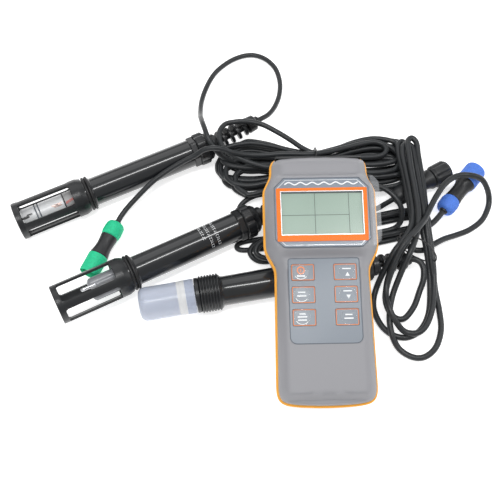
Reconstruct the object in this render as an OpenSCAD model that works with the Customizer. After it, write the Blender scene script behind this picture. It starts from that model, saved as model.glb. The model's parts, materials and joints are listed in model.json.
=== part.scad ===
// Handheld water quality meter with three cabled probes, laid out on a table.
// Millimetres. Z is up from the table, X runs across the meter and Y towards its sockets.
// Each probe is drawn along its own axis, from its sensing end to its cable.

/* [Meter] */
// half width of the grip
grip_hw = 31.8; // [28:0.1:40]
// half width of the neck below the head
neck_hw = 30.8; // [28:0.1:40]
// half width of the display head
head_hw = 37.7; // [32:0.1:46]
// half width of the socket end
cap_hw = 32.6; // [28:0.1:40]
// distance from the middle to the socket end
top_y = 84.5; // [70:0.5:100]
// distance from the middle to the bottom end
bottom_y = 84.5; // [70:0.5:100]
// height of the joint between the shells above the back
seam_z = 15; // [10:0.5:20]
// height of the coloured edge band
band_h = 4.5; // [2:0.1:8]
// how far the edge band stands proud of the shells
band_proud = 1.2; // [0.4:0.1:3]
// height of the grip's front face
grip_z = 30; // [24:0.5:36]
// height of the head's front face
head_z = 35; // [28:0.5:40]
// depth of the battery belly behind the back
belly_d = 6; // [0:0.5:10]
// lean of the meter where it rests on the probe below it
meter_tilt = 12; // [0:0.5:20]

/* [Keys] */
// key width
key_w = 14.8; // [10:0.1:20]
// key height
key_h = 10.6; // [8:0.1:14]
// distance from the centreline to a key column
key_x = 13.9; // [8:0.1:20]
// pitch of the key rows
key_pitch = 14.9; // [12:0.1:20]
// position of the top key row
key_y = 1.2; // [-10:0.1:10]
// gap round a key
key_gap = 0.35; // [0.2:0.05:0.6]

/* [Probes] */
// radius of a probe tube
tube_r = 10.6; // [8:0.1:14]
// radius of a sensor guard
guard_r = 14; // [11:0.1:18]
// inside radius of a sensor guard
guard_bore_r = 12.1; // [9:0.1:16]
// length of a sensor guard
guard_len = 53; // [40:0.5:70]
// end of the probe tube, from the guard's end
tube_end = 139; // [100:1:180]
// radius over the thread of the electrode body
thread_r = 13.2; // [11:0.1:16]
// length of the storage cap
cap_len = 39.3; // [30:0.1:50]
// radius of the storage cap
cap_r = 11.9; // [9:0.1:14]

/* [Cords] */
// diameter of the two thin probe leads
thin_d = 3.6; // [2.5:0.1:5]
// diameter of the thick probe lead
thick_d = 4.2; // [3:0.1:6]

/* [Hidden] */
$fn = 64;
set_x = 30.15;
set_y = 1.18;

// places of the meter, the probes and the connectors before the whole set is centred on the origin
meter_at = [47.8, -31.3, 23.05];
do_at = [-170.5, 25.9, 14];
do_turn = 24.6;
ec_at = [-133.8, -43.7, 21];
ec_turn = 26.7;
ec_dip = 2.7;
ph_at = [-78.0, -41.4, 13.2];
ph_turn = 9.3;
green_at = [-98.6, 26.3, 7.9];
green_turn = -114.1;
green_len = 44.5;
green_r = 7.4;
blue_at = [145.8, 32.2, 8.6];
blue_turn = 49.9;
blue_len = 46.5;
blue_r = 8.2;
black_at = [110.2, 43.1, 9.2];
black_turn = 29.7;
black_len = 49;

band_z = seam_z + band_h;
window_w = 63.6;
window_h = 48.4;
window_y = 40.8;
lcd_w = 54;
lcd_h = 29.8;
lcd_y = 40;
pad_w = 47.6;
pad_top = 10.8;
pad_bottom = -45.8;
pcb_z = 21;
pcb_h = 1.6;
dome_h = 1.4;
key_travel = 0.4;
socket_r = 5.2;
socket_depth = 9;
socket_pitch = 20;
socket_z = 19;
door_w = 46;
door_l = 52;
door_y = -46;
door_t = 1.8;
cell_r = 5.2;
cell_len = 44;
nut_start = tube_end;
gland_start = nut_start + 5;
relief_start = gland_start + 12;
relief_len = 43;
window_start = 4.2;
window_end = 43.5;
window_half = 33;
ring_spots = [54.7, 57.2];
ph_tube_end = 150;
ph_relief_len = 29;
nut_r = 7.2;

grey = [0.62, 0.62, 0.64];
orange = [0.97, 0.63, 0.16];
slate = [0.53, 0.57, 0.62];
black = [0.12, 0.13, 0.14];
dark = [0.2, 0.21, 0.22];
steel = [0.75, 0.76, 0.78];

// ---------- frames ----------

module in_set() {
  translate([set_x, set_y, 0]) children();
}

module in_meter() {
  in_set() translate(meter_at) rotate([meter_tilt, 0, 0]) children();
}

module in_do() {
  in_set() translate(do_at) rotate([0, 0, do_turn]) rotate([0, 90, 0]) children();
}

module in_ec() {
  in_set() translate(ec_at) rotate([0, 0, ec_turn]) rotate([0, 90 + ec_dip, 0]) children();
}

module in_ph() {
  in_set() translate(ph_at) rotate([0, 0, ph_turn]) rotate([0, 90, 0]) children();
}

module in_plug(at, turn) {
  in_set() translate(at) rotate([0, 0, turn]) rotate([0, 90, 0]) children();
}

// ---------- meter outline ----------

// one side of the outline from the bottom to the top, moved in by d
function side(d) = [
  [6, -bottom_y + d],
  [18, -bottom_y + 0.6 + d],
  [26 - d / 2, -bottom_y + 1.7 + d],
  [29.8 - d, -bottom_y + 3.4 + d],
  [grip_hw - 0.4 - d, -bottom_y + 7 + d / 2],
  [grip_hw - d, -bottom_y + 11],
  [grip_hw - 0.5 - d, -30],
  [neck_hw - d, 2],
  [neck_hw + 0.3 - d, 6],
  [head_hw - 0.9 - d, 17],
  [head_hw - d, 20],
  [head_hw - d, 60.5],
  [cap_hw + 0.6 - d, 69.5 - d / 2],
  [cap_hw - d, 72 - d / 2],
  [cap_hw - d, top_y - 6],
  [cap_hw - 1.4 - d, top_y - 2.6 - d / 2],
  [cap_hw - 5 - d, top_y - 1 - d],
  [16, top_y - 0.3 - d],
  [6, top_y - d]
];

function mirrored(pts) = [for (i = [len(pts) - 1:-1:0]) [-pts[i][0], pts[i][1]]];

module outline(d) {
  polygon(concat(side(d), mirrored(side(d))));
}

function rect_pts(w, y0, y1, c) = [
  [-w, y0 + c], [-w + c, y0], [w - c, y0], [w, y0 + c],
  [w, y1 - c], [w - c, y1], [-w + c, y1], [-w, y1 - c]
];

module slab(w, y0, y1, c, z0, z1) {
  translate([0, 0, z0]) linear_extrude(z1 - z0) polygon(rect_pts(w, y0, y1, c));
}

// a raised block with sloping sides from z0 to z1
module raised(w, y0, y1, c, z0, z1, slope) {
  hull() {
    slab(w, y0, y1, c, z0, z0 + 0.1);
    slab(w - slope, y0 + slope, y1 - slope, c, z1 - 0.1, z1);
  }
}

// ---------- meter ----------

screw_spots = [[-28, -74], [28, -74], [-32, 30], [32, 30]];

module rear_shell() {
  color(grey) in_meter() difference() {
    union() {
      linear_extrude(seam_z) outline(0);
      slab(29, -82, -8, 6, -belly_d, 1);
      slab(30, 28, 64, 8, -belly_d, 1);
    }
    translate([0, 0, 10]) linear_extrude(seam_z) outline(2.4);
    slab(27, 31, 61, 5, -belly_d + 2.4, 11);
    slab(23.4, -71, -21, 1, -belly_d + door_t, 8);
    slab(door_w / 2 + 0.4, door_y - door_l / 2 - 0.4, door_y + door_l / 2 + 0.4, 2, -belly_d - 1, -belly_d + door_t);
    for (p = screw_spots) translate([p[0], p[1], -belly_d - 1]) {
      cylinder(r = 1.6, h = 30);
      cylinder(r = 3, h = 4);
    }
    translate([0, top_y - 16, socket_z]) cube([60, 24, 18], center = true);
    translate([0, top_y, socket_z]) cube([60, 12, 12], center = true);
  }
}

module edge_band() {
  color(orange) in_meter() translate([0, 0, seam_z]) difference() {
    linear_extrude(band_h) outline(-band_proud);
    translate([0, 0, -1]) linear_extrude(band_h + 2) outline(2.4);
    translate([0, top_y - 16, socket_z - seam_z]) cube([60, 24, 18], center = true);
    translate([0, top_y, band_h / 2]) cube([62, 12, 20], center = true);
  }
}

module front_shell() {
  color(grey) in_meter() difference() {
    union() {
      translate([0, 0, band_z]) linear_extrude(4.5) outline(0);
      raised(neck_hw - 0.4, -bottom_y + 3, 20, 5, band_z + 4, grip_z, 4);
      hull() {
        slab(head_hw - 0.5, 11.8, 70, 9.5, band_z + 4, band_z + 4.1);
        slab(window_w / 2 + 0.7, 16.2, 65.6, 6, head_z - 0.1, head_z);
      }
      raised(cap_hw - 0.5, 55, top_y - 1, 4, band_z + 4, grip_z + 1, 4);
    }
    translate([0, 0, band_z - 1]) linear_extrude(7) outline(2.4);
    slab(30, 15, 66, 8, band_z, head_z - 2.2);
    slab(26, -50, 12, 3, band_z, grip_z - 2.4);
    slab(window_w / 2 + 0.1, window_y - window_h / 2 - 0.1, window_y + window_h / 2 + 0.1, 6, head_z - 0.8, head_z + 1);
    slab(lcd_w / 2 + 0.3, lcd_y - lcd_h / 2 - 0.3, lcd_y + lcd_h / 2 + 0.3, 0.6, head_z - 4, head_z + 1);
    slab(pad_w / 2 + 0.1, pad_bottom - 0.1, pad_top + 0.1, 2.2, grip_z - 0.6, grip_z + 1);
    for (i = [0:2]) for (s = [-1, 1]) {
      translate([s * key_x, key_y - i * key_pitch, grip_z - 1.2])
        cube([key_w + 2 * key_gap, key_h + 2 * key_gap, 3], center = true);
      translate([s * key_x, key_y - i * key_pitch, grip_z - 5]) cylinder(r = 3.1, h = 5);
    }
    translate([0, top_y - 16, socket_z]) cube([60, 24, 18], center = true);
    translate([0, top_y, socket_z]) cube([60, 12, 12], center = true);
  }
}

module socket_block() {
  color(dark) in_meter() difference() {
    union() {
      translate([0, top_y - 16.5, socket_z]) cube([59.4, 22.6, 17.4], center = true);
      translate([0, top_y - 3, socket_z]) cube([59.2, 6, 11.6], center = true);
    }
    for (i = [-1:1]) translate([i * socket_pitch, top_y + 1, socket_z]) rotate([90, 0, 0])
      cylinder(r = socket_r, h = socket_depth + 1);
    for (i = [-1:1]) translate([i * socket_pitch, top_y - socket_depth + 1, socket_z]) rotate([90, 0, 0])
      cylinder(r = 4.1, h = 10);
  }
}

module socket_inserts() {
  color(steel) in_meter() for (i = [-1:1]) translate([i * socket_pitch, top_y - socket_depth, socket_z]) rotate([90, 0, 0])
    difference() {
      cylinder(r = 4, h = 6);
      for (a = [0:90:270]) rotate([0, 0, a]) translate([2.2, 0, -1]) cylinder(r = 0.5, h = 4);
    }
}

module window_panel() {
  color(slate) in_meter() difference() {
    slab(window_w / 2, window_y - window_h / 2, window_y + window_h / 2, 6, head_z - 0.8, head_z + 0.6);
    slab(lcd_w / 2, lcd_y - lcd_h / 2, lcd_y + lcd_h / 2, 0.5, head_z - 2, head_z + 2);
  }
}

module lcd_frame() {
  color([0.98, 0.5, 0.13]) in_meter() difference() {
    slab(29.8, 20.8, 57.4, 0.8, head_z + 0.6, head_z + 1);
    slab(lcd_w / 2, lcd_y - lcd_h / 2, lcd_y + lcd_h / 2, 0.5, head_z, head_z + 2);
  }
}

module lcd_module() {
  color([0.66, 0.74, 0.7]) in_meter() difference() {
    slab(lcd_w / 2 - 0.2, lcd_y - lcd_h / 2 + 0.2, lcd_y + lcd_h / 2 - 0.2, 0.4, head_z - 3.6, head_z + 0.2);
    for (x = [-4.7, 17.9]) translate([x, lcd_y, head_z + 0.2]) cube([0.3, lcd_h - 2, 0.2], center = true);
    translate([-4.4, lcd_y - 0.8, head_z + 0.2]) cube([lcd_w - 9, 0.3, 0.2], center = true);
  }
}

// clear protective film over the display, overhanging the head at one side
module screen_film() {
  color([0.9, 0.92, 0.95, 0.3]) in_meter() translate([0, 0, head_z + 1.3]) linear_extrude(0.4)
    polygon([[-34, 24], [-30, 17], [33, 17], [38.6, 22], [38.6, 60], [35, 64.5], [30, 66.5], [-29, 66.5], [-34, 62]]);
}

module key_spot(s, i) {
  in_meter() translate([s * key_x, key_y - i * key_pitch, grip_z]) children();
}

module keypad() {
  color(slate) in_meter() difference() {
    slab(pad_w / 2, pad_bottom, pad_top, 2.2, grip_z - 0.6, grip_z + 0.4);
    for (i = [0:2]) for (s = [-1, 1])
      translate([s * key_x, key_y - i * key_pitch, grip_z])
        cube([key_w + 2 * key_gap, key_h + 2 * key_gap, 4], center = true);
  }
}

// one key: its plate, the dome on it and the stem that reaches its switch
module key_body() {
  translate([0, 0, -0.5]) linear_extrude(1)
    polygon([
      [-key_w / 2 + 1, -key_h / 2], [key_w / 2 - 1, -key_h / 2], [key_w / 2, -key_h / 2 + 1],
      [key_w / 2, key_h / 2 - 1], [key_w / 2 - 1, key_h / 2], [-key_w / 2 + 1, key_h / 2],
      [-key_w / 2, key_h / 2 - 1], [-key_w / 2, -key_h / 2 + 1]
    ]);
  cylinder(r = 5, h = 0.9);
  cylinder(r = 4, h = 1.3);
  translate([0, 0, -grip_z + pcb_z + pcb_h + dome_h + key_travel + 0.2])
    cylinder(r = 2.6, h = grip_z - pcb_z - pcb_h - dome_h - key_travel - 0.4);
}

module key_power() {
  color(orange) key_spot(-1, 0) key_body();
}

module key_cal() {
  color(slate) key_spot(-1, 1) key_body();
}

module key_mode() {
  color(slate) key_spot(-1, 2) key_body();
}

module key_up() {
  color(slate) key_spot(1, 0) key_body();
}

module key_down() {
  color(slate) key_spot(1, 1) key_body();
}

module key_enter() {
  color(slate) key_spot(1, 2) key_body();
}

module circuit_board() {
  color([0.1, 0.38, 0.22]) in_meter() difference() {
    slab(25, -48, 55.5, 2, pcb_z, pcb_z + pcb_h);
    for (y = [-40, 15, 50]) for (s = [-1, 1]) translate([s * 22, y, pcb_z - 1]) cylinder(r = 1.4, h = 4);
  }
}

module dome_switches() {
  color(steel) for (i = [0:2]) for (s = [-1, 1])
    key_spot(s, i) translate([0, 0, pcb_z + pcb_h - grip_z]) {
      cylinder(r = 4, h = dome_h * 0.6);
      cylinder(r = 2.4, h = dome_h);
    }
}

module battery_cells() {
  color([0.75, 0.6, 0.25]) in_meter() for (i = [0:3]) translate([-16.8 + i * 11.2, door_y - cell_len / 2, 1.4])
    rotate([-90, 0, 0]) {
      cylinder(r = cell_r, h = cell_len - 1);
      translate([0, 0, cell_len - 1.5]) cylinder(r = 1.8, h = 1.5);
    }
}

module battery_door() {
  color(grey) in_meter() difference() {
    slab(door_w / 2, door_y - door_l / 2, door_y + door_l / 2, 2, -belly_d, -belly_d + door_t - 0.3);
    for (i = [0:3]) translate([0, door_y + 14 + i * 2.4, -belly_d]) cube([18, 1, 0.8], center = true);
  }
}

module case_screws() {
  color(steel) in_meter() for (p = screw_spots) translate([p[0], p[1], -belly_d + 1]) difference() {
    union() {
      cylinder(r = 2.7, h = 1.9);
      cylinder(r = 1.45, h = 16);
    }
    translate([0, 0, -0.5]) cube([0.8, 3.4, 2], center = true);
    translate([0, 0, -0.5]) cube([3.4, 0.8, 2], center = true);
  }
}

// ---------- probes ----------

// sleeve with an end ring, four long windows and a collar; turn sets which way a window faces
module guard(turn) {
  difference() {
    union() {
      cylinder(r = guard_r, h = guard_len - 4);
      translate([0, 0, guard_len - 4]) cylinder(r1 = guard_r, r2 = guard_bore_r + 0.5, h = 4);
    }
    translate([0, 0, -1]) cylinder(r = guard_bore_r, h = guard_len + 2);
    for (a = [0, 90]) rotate([0, 0, turn + a]) translate([-20, -guard_r * sin(window_half), window_start])
      cube([40, 2 * guard_r * sin(window_half), window_end - window_start]);
  }
}

// tube with the larger head that carries the guard
module probe_tube() {
  difference() {
    union() {
      translate([0, 0, 45.6]) cylinder(r = guard_bore_r - 0.06, h = 13.4);
      translate([0, 0, 58]) cylinder(r = tube_r, h = tube_end - 58);
    }
    translate([0, 0, 41]) cylinder(r = 8.6, h = tube_end - 39);
    for (z = ring_spots) translate([0, 0, z]) rotate_extrude() translate([12, 0]) circle(r = 0.85, $fn = 24);
  }
}

// two sealing rings next to the guard
module probe_rings() {
  for (z = ring_spots) translate([0, 0, z]) rotate_extrude() translate([12, 0]) circle(r = 0.8, $fn = 24);
}

// open coiled strain relief, drawn as linked rings on a core
module relief(length, r0, r1, n) {
  cylinder(r = 2.9, h = length);
  for (i = [0:n - 1]) translate([0, 0, 1.5 + i * (length - 11) / n]) {
    cylinder(r = r0 + (r1 - r0) * i / n, h = (length - 11) / n * 0.52);
    translate([r0 * 0.55, 0, 0]) cylinder(r = 1.2, h = (length - 11) / n * 1.1);
  }
  translate([0, 0, length - 9]) cylinder(r = 5.2, h = 6.5);
  translate([0, 0, length - 2.6]) cylinder(r = 3.8, h = 2.6);
}

module do_guard() {
  color(black) in_do() guard(14);
}

module do_tube() {
  color(black) in_do() probe_tube();
}

module do_orings() {
  color(dark) in_do() probe_rings();
}

module do_membrane_cap() {
  color([0.85, 0.85, 0.86]) in_do() difference() {
    union() {
      translate([0, 0, 4]) cylinder(r1 = 6.4, r2 = 7.3, h = 1);
      translate([0, 0, 5]) cylinder(r = 7.3, h = 31.2);
    }
    for (z = [14.8, 17.2]) translate([0, 0, z]) difference() {
      cylinder(r = 9, h = 0.8);
      translate([0, 0, -1]) cylinder(r = 6.9, h = 3);
    }
    translate([0, 0, 5.4]) cylinder(r = 6, h = 32);
  }
}

module do_core() {
  color([0.6, 0.6, 0.62]) in_do() {
    translate([0, 0, 6]) cylinder(r = 5.92, h = 31);
    translate([0, 0, 36.6]) cylinder(r = 7.5, h = 6);
    translate([0, 0, 42]) cylinder(r = 8.55, h = 14);
  }
}

module do_strain_relief() {
  color(black) in_do() {
    translate([0, 0, relief_start]) cylinder(r = 3.6, h = 1);
    translate([0, 0, relief_start + 0.5]) rotate([-7, 0, 0]) relief(relief_len, 7.6, 6.2, 6);
  }
}

module ec_guard() {
  color(black) in_ec() guard(-8);
}

module ec_tube() {
  color(black) in_ec() probe_tube();
}

module ec_orings() {
  color(dark) in_ec() probe_rings();
}

module ec_cell() {
  color([0.35, 0.36, 0.38]) in_ec() difference() {
    union() {
      translate([0, 0, 42]) cylinder(r = 8.55, h = 14);
      translate([0, 4.6, 28.5]) cylinder(r = 4.2, h = 14);
      translate([0, 4.6, 28.5]) sphere(r = 4.2);
      translate([0, -5.2, 27.9]) cylinder(r = 3.6, h = 15);
      translate([0, -5.2, 27.9]) sphere(r = 3.6);
    }
    translate([-5.7, 0, 41]) cylinder(r = 1.3, h = 12);
  }
}

module ec_temp_pin() {
  color(steel) in_ec() {
    translate([-5.7, 0, 19.7]) cylinder(r = 1.2, h = 30);
    translate([-5.7, 0, 19.7]) sphere(r = 1.2);
  }
}

module ec_strain_relief() {
  color(black) in_ec() translate([0, 0, relief_start]) relief(relief_len - 4, 7.2, 6.0, 6);
}

// closed translucent cup over the electrode
module ph_cap() {
  color([0.8, 0.84, 0.92, 0.6]) in_ph() difference() {
    union() {
      translate([0, 0, 3]) cylinder(r = cap_r, h = cap_len - 3);
      cylinder(r1 = cap_r - 2.6, r2 = cap_r, h = 3);
      translate([0, 0, cap_len - 9]) cylinder(r = cap_r + 0.25, h = 9);
    }
    translate([0, 0, 2.2]) cylinder(r = cap_r - 1.6, h = cap_len);
  }
}

module ph_body() {
  color(black) in_ph() difference() {
    union() {
      translate([0, 0, 30]) cylinder(r = 7.4, h = 12);
      translate([0, 0, cap_len + 0.3]) cylinder(r = 12.4, h = 3);
      translate([0, 0, cap_len + 3]) cylinder(r = thread_r - 1.4, h = 15);
      for (i = [0:6]) translate([0, 0, cap_len + 3.6 + i * 2.06]) {
        translate([0, 0, 0.3]) cylinder(r = thread_r, h = 0.6);
        cylinder(r = thread_r - 0.6, h = 1.2);
      }
      translate([0, 0, cap_len + 17]) cylinder(r = tube_r, h = ph_tube_end - cap_len - 17);
    }
    translate([0, 0, 29]) cylinder(r = 5.8, h = ph_tube_end);
    translate([0, 0, 33.5]) rotate_extrude() translate([7.6, 0]) circle(r = 1.05, $fn = 24);
  }
}

module ph_seal() {
  color(dark) in_ph() translate([0, 0, 33.5]) rotate_extrude() translate([7.6, 0]) circle(r = 1, $fn = 24);
}

module ph_bulb() {
  color([0.8, 0.88, 0.9, 0.5]) in_ph() {
    translate([0, 0, 13]) cylinder(r = 4.2, h = 30);
    translate([0, 0, 13]) sphere(r = 4.2);
  }
}

module ph_strain_relief() {
  color(black) in_ph() translate([0, 0, ph_tube_end + 17]) relief(ph_relief_len, 7.6, 6.4, 4);
}

module lock_nut(z) {
  translate([0, 0, z]) cylinder(r = 11.6, h = 5, $fn = 6);
}

module lock_nuts() {
  color(dark) {
    in_do() lock_nut(nut_start);
    in_ec() lock_nut(nut_start);
    in_ph() lock_nut(ph_tube_end);
  }
}

module gland_nut(z) {
  translate([0, 0, z]) {
    cylinder(r = 12.6, h = 7.5, $fn = 6);
    translate([0, 0, 7.5]) cylinder(r1 = 10.8, r2 = 9, h = 4.5);
  }
}

module gland_nuts() {
  color(dark) {
    in_do() gland_nut(gland_start);
    in_ec() gland_nut(gland_start);
    in_ph() intersection() {
      gland_nut(ph_tube_end + 5);
      cylinder(r = 12.4, h = 300);
    }
  }
}

// ---------- cable connectors ----------

// waisted body: the part inside the cable nut, the waist and the barrel inside the coupling ring
module plug_body(length, ring_r) {
  difference() {
    union() {
      translate([0, 0, 1]) cylinder(r = 5.4, h = 13);
      translate([0, 0, 12.2]) cylinder(r = nut_r - 0.8, h = 2);
      translate([0, 0, 14]) cylinder(r1 = nut_r - 0.9, r2 = 5.8, h = 4);
      translate([0, 0, 18]) cylinder(r = 5.8, h = length - 32);
      translate([0, 0, length - 22]) cylinder(r1 = 5.8, r2 = ring_r - 0.5, h = 5);
      translate([0, 0, length - 17]) cylinder(r = ring_r - 0.5, h = 1.2);
      translate([0, 0, length - 16]) cylinder(r = 6.1, h = 8);
    }
    for (a = [0:90:270]) rotate([0, 0, a]) translate([2.6, 0, length - 11]) cylinder(r = 0.7, h = 4);
  }
}

// knurled cable nut behind the body
module plug_nut() {
  difference() {
    union() {
      translate([0, 0, 1]) cylinder(r = nut_r - 0.3, h = 11);
      cylinder(r1 = nut_r - 2, r2 = nut_r - 0.4, h = 1.2);
      for (a = [0:20:340]) rotate([0, 0, a]) translate([nut_r - 0.5, 0, 2]) cylinder(r = 0.5, h = 9, $fn = 16);
    }
    translate([0, 0, 0.8]) cylinder(r = 5.5, h = 20);
  }
}

// coupling ring that turns on the barrel, with an open mouth for the socket
module plug_ring(length, ring_r) {
  translate([0, 0, length - 15.4]) difference() {
    union() {
      cylinder(r = ring_r - 0.2, h = 15.4);
      for (a = [0:20:340]) rotate([0, 0, a]) translate([ring_r - 0.5, 0, 1]) cylinder(r = 0.5, h = 13, $fn = 16);
    }
    translate([0, 0, -1]) cylinder(r = 6.15, h = 20);
    translate([0, 0, 7.8]) cylinder(r = 6.6, h = 20);
  }
}

module green_body() {
  color(dark) in_plug(green_at, green_turn) plug_body(green_len, green_r);
}

module green_ring() {
  color([0.16, 0.84, 0.6]) in_plug(green_at, green_turn) plug_ring(green_len, green_r);
}

module green_nut() {
  color([0.16, 0.84, 0.6]) in_plug(green_at, green_turn) plug_nut();
}

module blue_body() {
  color(dark) in_plug(blue_at, blue_turn) plug_body(blue_len, blue_r);
}

module blue_ring() {
  color([0.36, 0.55, 0.95]) in_plug(blue_at, blue_turn) plug_ring(blue_len, blue_r);
}

module blue_nut() {
  color([0.36, 0.55, 0.95]) in_plug(blue_at, blue_turn) plug_nut();
}

module black_body() {
  color(dark) in_plug(black_at, black_turn) {
    plug_body(black_len, 7.7);
    translate([0, 0, 0.5]) cylinder(r = nut_r, h = 12.5);
  }
}

// coupling ring with six broad ridges
module black_ring() {
  color(black) in_plug(black_at, black_turn) translate([0, 0, black_len - 14.6]) difference() {
    union() {
      cylinder(r = 8, h = 14.6);
      for (a = [0:60:300]) rotate([0, 0, a]) translate([6.6, 0, 1.6]) cylinder(r = 2.4, h = 11.6, $fn = 24);
    }
    translate([0, 0, -1]) cylinder(r = 6.15, h = 30);
    translate([0, 0, 7]) cylinder(r = 6.6, h = 20);
  }
}

// ---------- cords ----------

// routes of the free stretches, in the same frame as the places above
do_lead_route = [
  [8.4, 113.6, 14], [13, 121, 11], [18.5, 133, 5], [22.5, 147, 2], [22.8, 161, 2], [19, 175, 2],
  [11, 186, 2], [-1, 190, 2], [-14, 186, 2], [-26, 174, 2], [-34, 158, 2], [-37.6, 140, 4],
  [-37.2, 122, 12], [-35.6, 108, 24], [-33, 96, 30.5], [-29, 85, 28], [-21, 77.5, 20], [-12, 74.5, 12]
];
do_tail_route = [
  [-98.6, 26.3, 7.9], [-95.3, 33.4, 8.2], [-88, 42, 11], [-71, 57, 18], [-54, 67, 23], [-40, 72.5, 27.5],
  [-33, 74.4, 32.2], [-26, 74.8, 33.8], [-18, 74, 30], [-9, 72.2, 21], [0, 69, 12]
];
ec_lead_route = [
  [40.3, 43.7, 11.9], [47.5, 46.6, 9], [56, 45.5, 6.5], [62, 38, 5.5], [63, 26, 5]
];
ec_tail_route = [
  [110.2, 43.1, 9.2], [102, 38, 9.6], [94, 32.4, 13], [84, 29.6, 17], [74, 31, 18], [69, 38, 19],
  [73, 46, 20], [84, 49, 21], [95, 46.6, 22.4], [104, 41, 22.4], [110, 32, 18], [110, 22, 6.5]
];
ph_lead_route = [
  [115.4, -9.7, 13.2], [120.4, -9.6, 12.6], [124.4, -14.4, 12], [124, -24, 11.6], [121, -32, 9]
];
ph_loop_route = [
  [128, 18, 24], [138, 36.8, 22.6], [146, 47.6, 22], [156, 54.6, 21.4], [166, 55, 21.4], [175, 53.2, 18.4],
  [181, 49, 12], [184.2, 43.6, 5], [182.4, 36.6, 2.2], [175.6, 26.6, 2.2], [165.2, 19, 2.2],
  [155, 14.6, 3], [144, 9.4, 7], [134.2, 2.8, 14], [127, -3, 20]
];
ph_tail_route = [
  [145.8, 32.2, 8.6], [141, 26.4, 8.6], [134, 19, 11], [127, 12, 20]
];

// a point at t between 0 and 1 along a smooth curve through the route
function cr(p, i) = p[max(0, min(len(p) - 1, i))];
function along(p, t) =
  let (s = t * (len(p) - 1), i = min(len(p) - 2, floor(s)), f = s - i)
  let (a = cr(p, i - 1), b = cr(p, i), c = cr(p, i + 1), d = cr(p, i + 2))
  0.5 * (2 * b + (c - a) * f + (2 * a - 5 * b + 4 * c - d) * f * f + (3 * b - 3 * c + d - a) * f * f * f);

function unit(v) = v / norm(v);

// closed tube of n rings and 8 sides along the route
module cord(route, d, n) {
  m = 8;
  rings = [for (k = [0:n - 1])
    let (t = k / (n - 1), c = along(route, t))
    let (a = along(route, max(0, t - 0.01)), b = along(route, min(1, t + 0.01)))
    let (dir = unit(b - a), u = unit(cross(dir, [0, 0, 1])), w = cross(u, dir))
    for (j = [0:m - 1]) c + d / 2 * (u * cos(360 * j / m) + w * sin(360 * j / m))];
  sides = [for (k = [0:n - 2]) for (j = [0:m - 1])
    let (p = k * m + j, q = k * m + (j + 1) % m)
    each [[p, p + m, q], [q, p + m, q + m]]];
  first = [for (j = [0:m - 1]) j];
  last = [for (j = [m - 1:-1:0]) (n - 1) * m + j];
  polyhedron(rings, concat(sides, [first, last]));
}

module do_lead() {
  color(dark) in_set() cord(do_lead_route, thin_d, 30);
}

module do_tail() {
  color(dark) in_set() cord(do_tail_route, thin_d, 12);
}

module ec_lead() {
  color(dark) in_set() cord(ec_lead_route, thin_d, 6);
}

module ec_tail() {
  color(dark) in_set() cord(ec_tail_route, thin_d, 13);
}

module ph_lead() {
  color(dark) in_set() cord(ph_lead_route, thick_d, 4);
}

module ph_loop() {
  color(dark) in_set() cord(ph_loop_route, thick_d, 12);
}

module ph_tail() {
  color(dark) in_set() cord(ph_tail_route, thick_d, 3);
}

// outer shapes of the wound hanks
module do_hank() {
  color(dark) in_set() linear_extrude(13.5) polygon([
    [-28, 68], [-26, 61], [-20, 54.5], [-11, 49.5], [0, 47], [14, 51], [28, 57], [40, 61.5], [52, 63.5],
    [64, 62], [80, 58.5], [96, 57], [108, 59.5], [117, 66], [122, 74], [124.5, 82], [123, 91], [115, 95],
    [96, 95], [72, 92.5], [46, 89.5], [28, 90], [12, 91.5], [0, 89.5], [-8, 85.5], [-16, 79.5], [-23, 74.8]
  ]);
}

module ec_hank() {
  color(dark) in_set() linear_extrude(9) polygon([
    [-10, 2], [-8, -5], [0, -8], [10, -6.5], [30, -2], [60, 4], [90, 9], [120, 14], [130, 16.5],
    [134.5, 21], [134, 28], [128, 32.5], [118, 33], [90, 29], [60, 24], [30, 16], [10, 10], [-4, 7]
  ]);
}

// long strands that lie over the other cords
module ph_hank() {
  color(dark) in_set() translate([0, 0, 18.5]) linear_extrude(9) polygon([
    [115, 84], [117.5, 90], [124, 92.5], [129, 90.5], [131.4, 84], [131.4, 60], [131.6, 30], [131.4, 0],
    [130, -20], [129.4, -40], [117, -40], [118, -20], [118.6, 0], [116.4, 30], [114.6, 60]
  ]);
}

// loops on the table below the tie, with a step up to the long strands
module ph_coil() {
  color(dark) in_set() {
    translate([0, 0, 11]) linear_extrude(7.5) polygon([[117, -40], [117, -26], [129.4, -26], [129.4, -40]]);
    linear_extrude(12) polygon([
      [117, -26], [106, -26], [96, -30], [89, -38], [88.5, -50], [93, -64], [101, -76], [113, -82],
      [124, -80], [131, -71], [134.5, -58], [132.5, -42], [130, -26]
    ]);
  }
}

rear_shell();
edge_band();
front_shell();
socket_block();
socket_inserts();
window_panel();
lcd_frame();
lcd_module();
screen_film();
keypad();
key_power();
key_cal();
key_mode();
key_up();
key_down();
key_enter();
circuit_board();
dome_switches();
battery_cells();
battery_door();
case_screws();
do_guard();
do_tube();
do_orings();
do_membrane_cap();
do_core();
do_strain_relief();
ec_guard();
ec_tube();
ec_orings();
ec_cell();
ec_temp_pin();
ec_strain_relief();
ph_cap();
ph_body();
ph_seal();
ph_bulb();
ph_strain_relief();
lock_nuts();
gland_nuts();
green_body();
green_ring();
green_nut();
blue_body();
blue_ring();
blue_nut();
black_body();
black_ring();
do_lead();
do_hank();
do_tail();
ec_lead();
ec_hank();
ec_tail();
ph_lead();
ph_hank();
ph_coil();
ph_loop();
ph_tail();
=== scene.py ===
"""Handheld water quality meter with three cabled probes: the visual model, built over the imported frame."""
import bpy, json, math
from mathutils import Matrix, Vector


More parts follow.
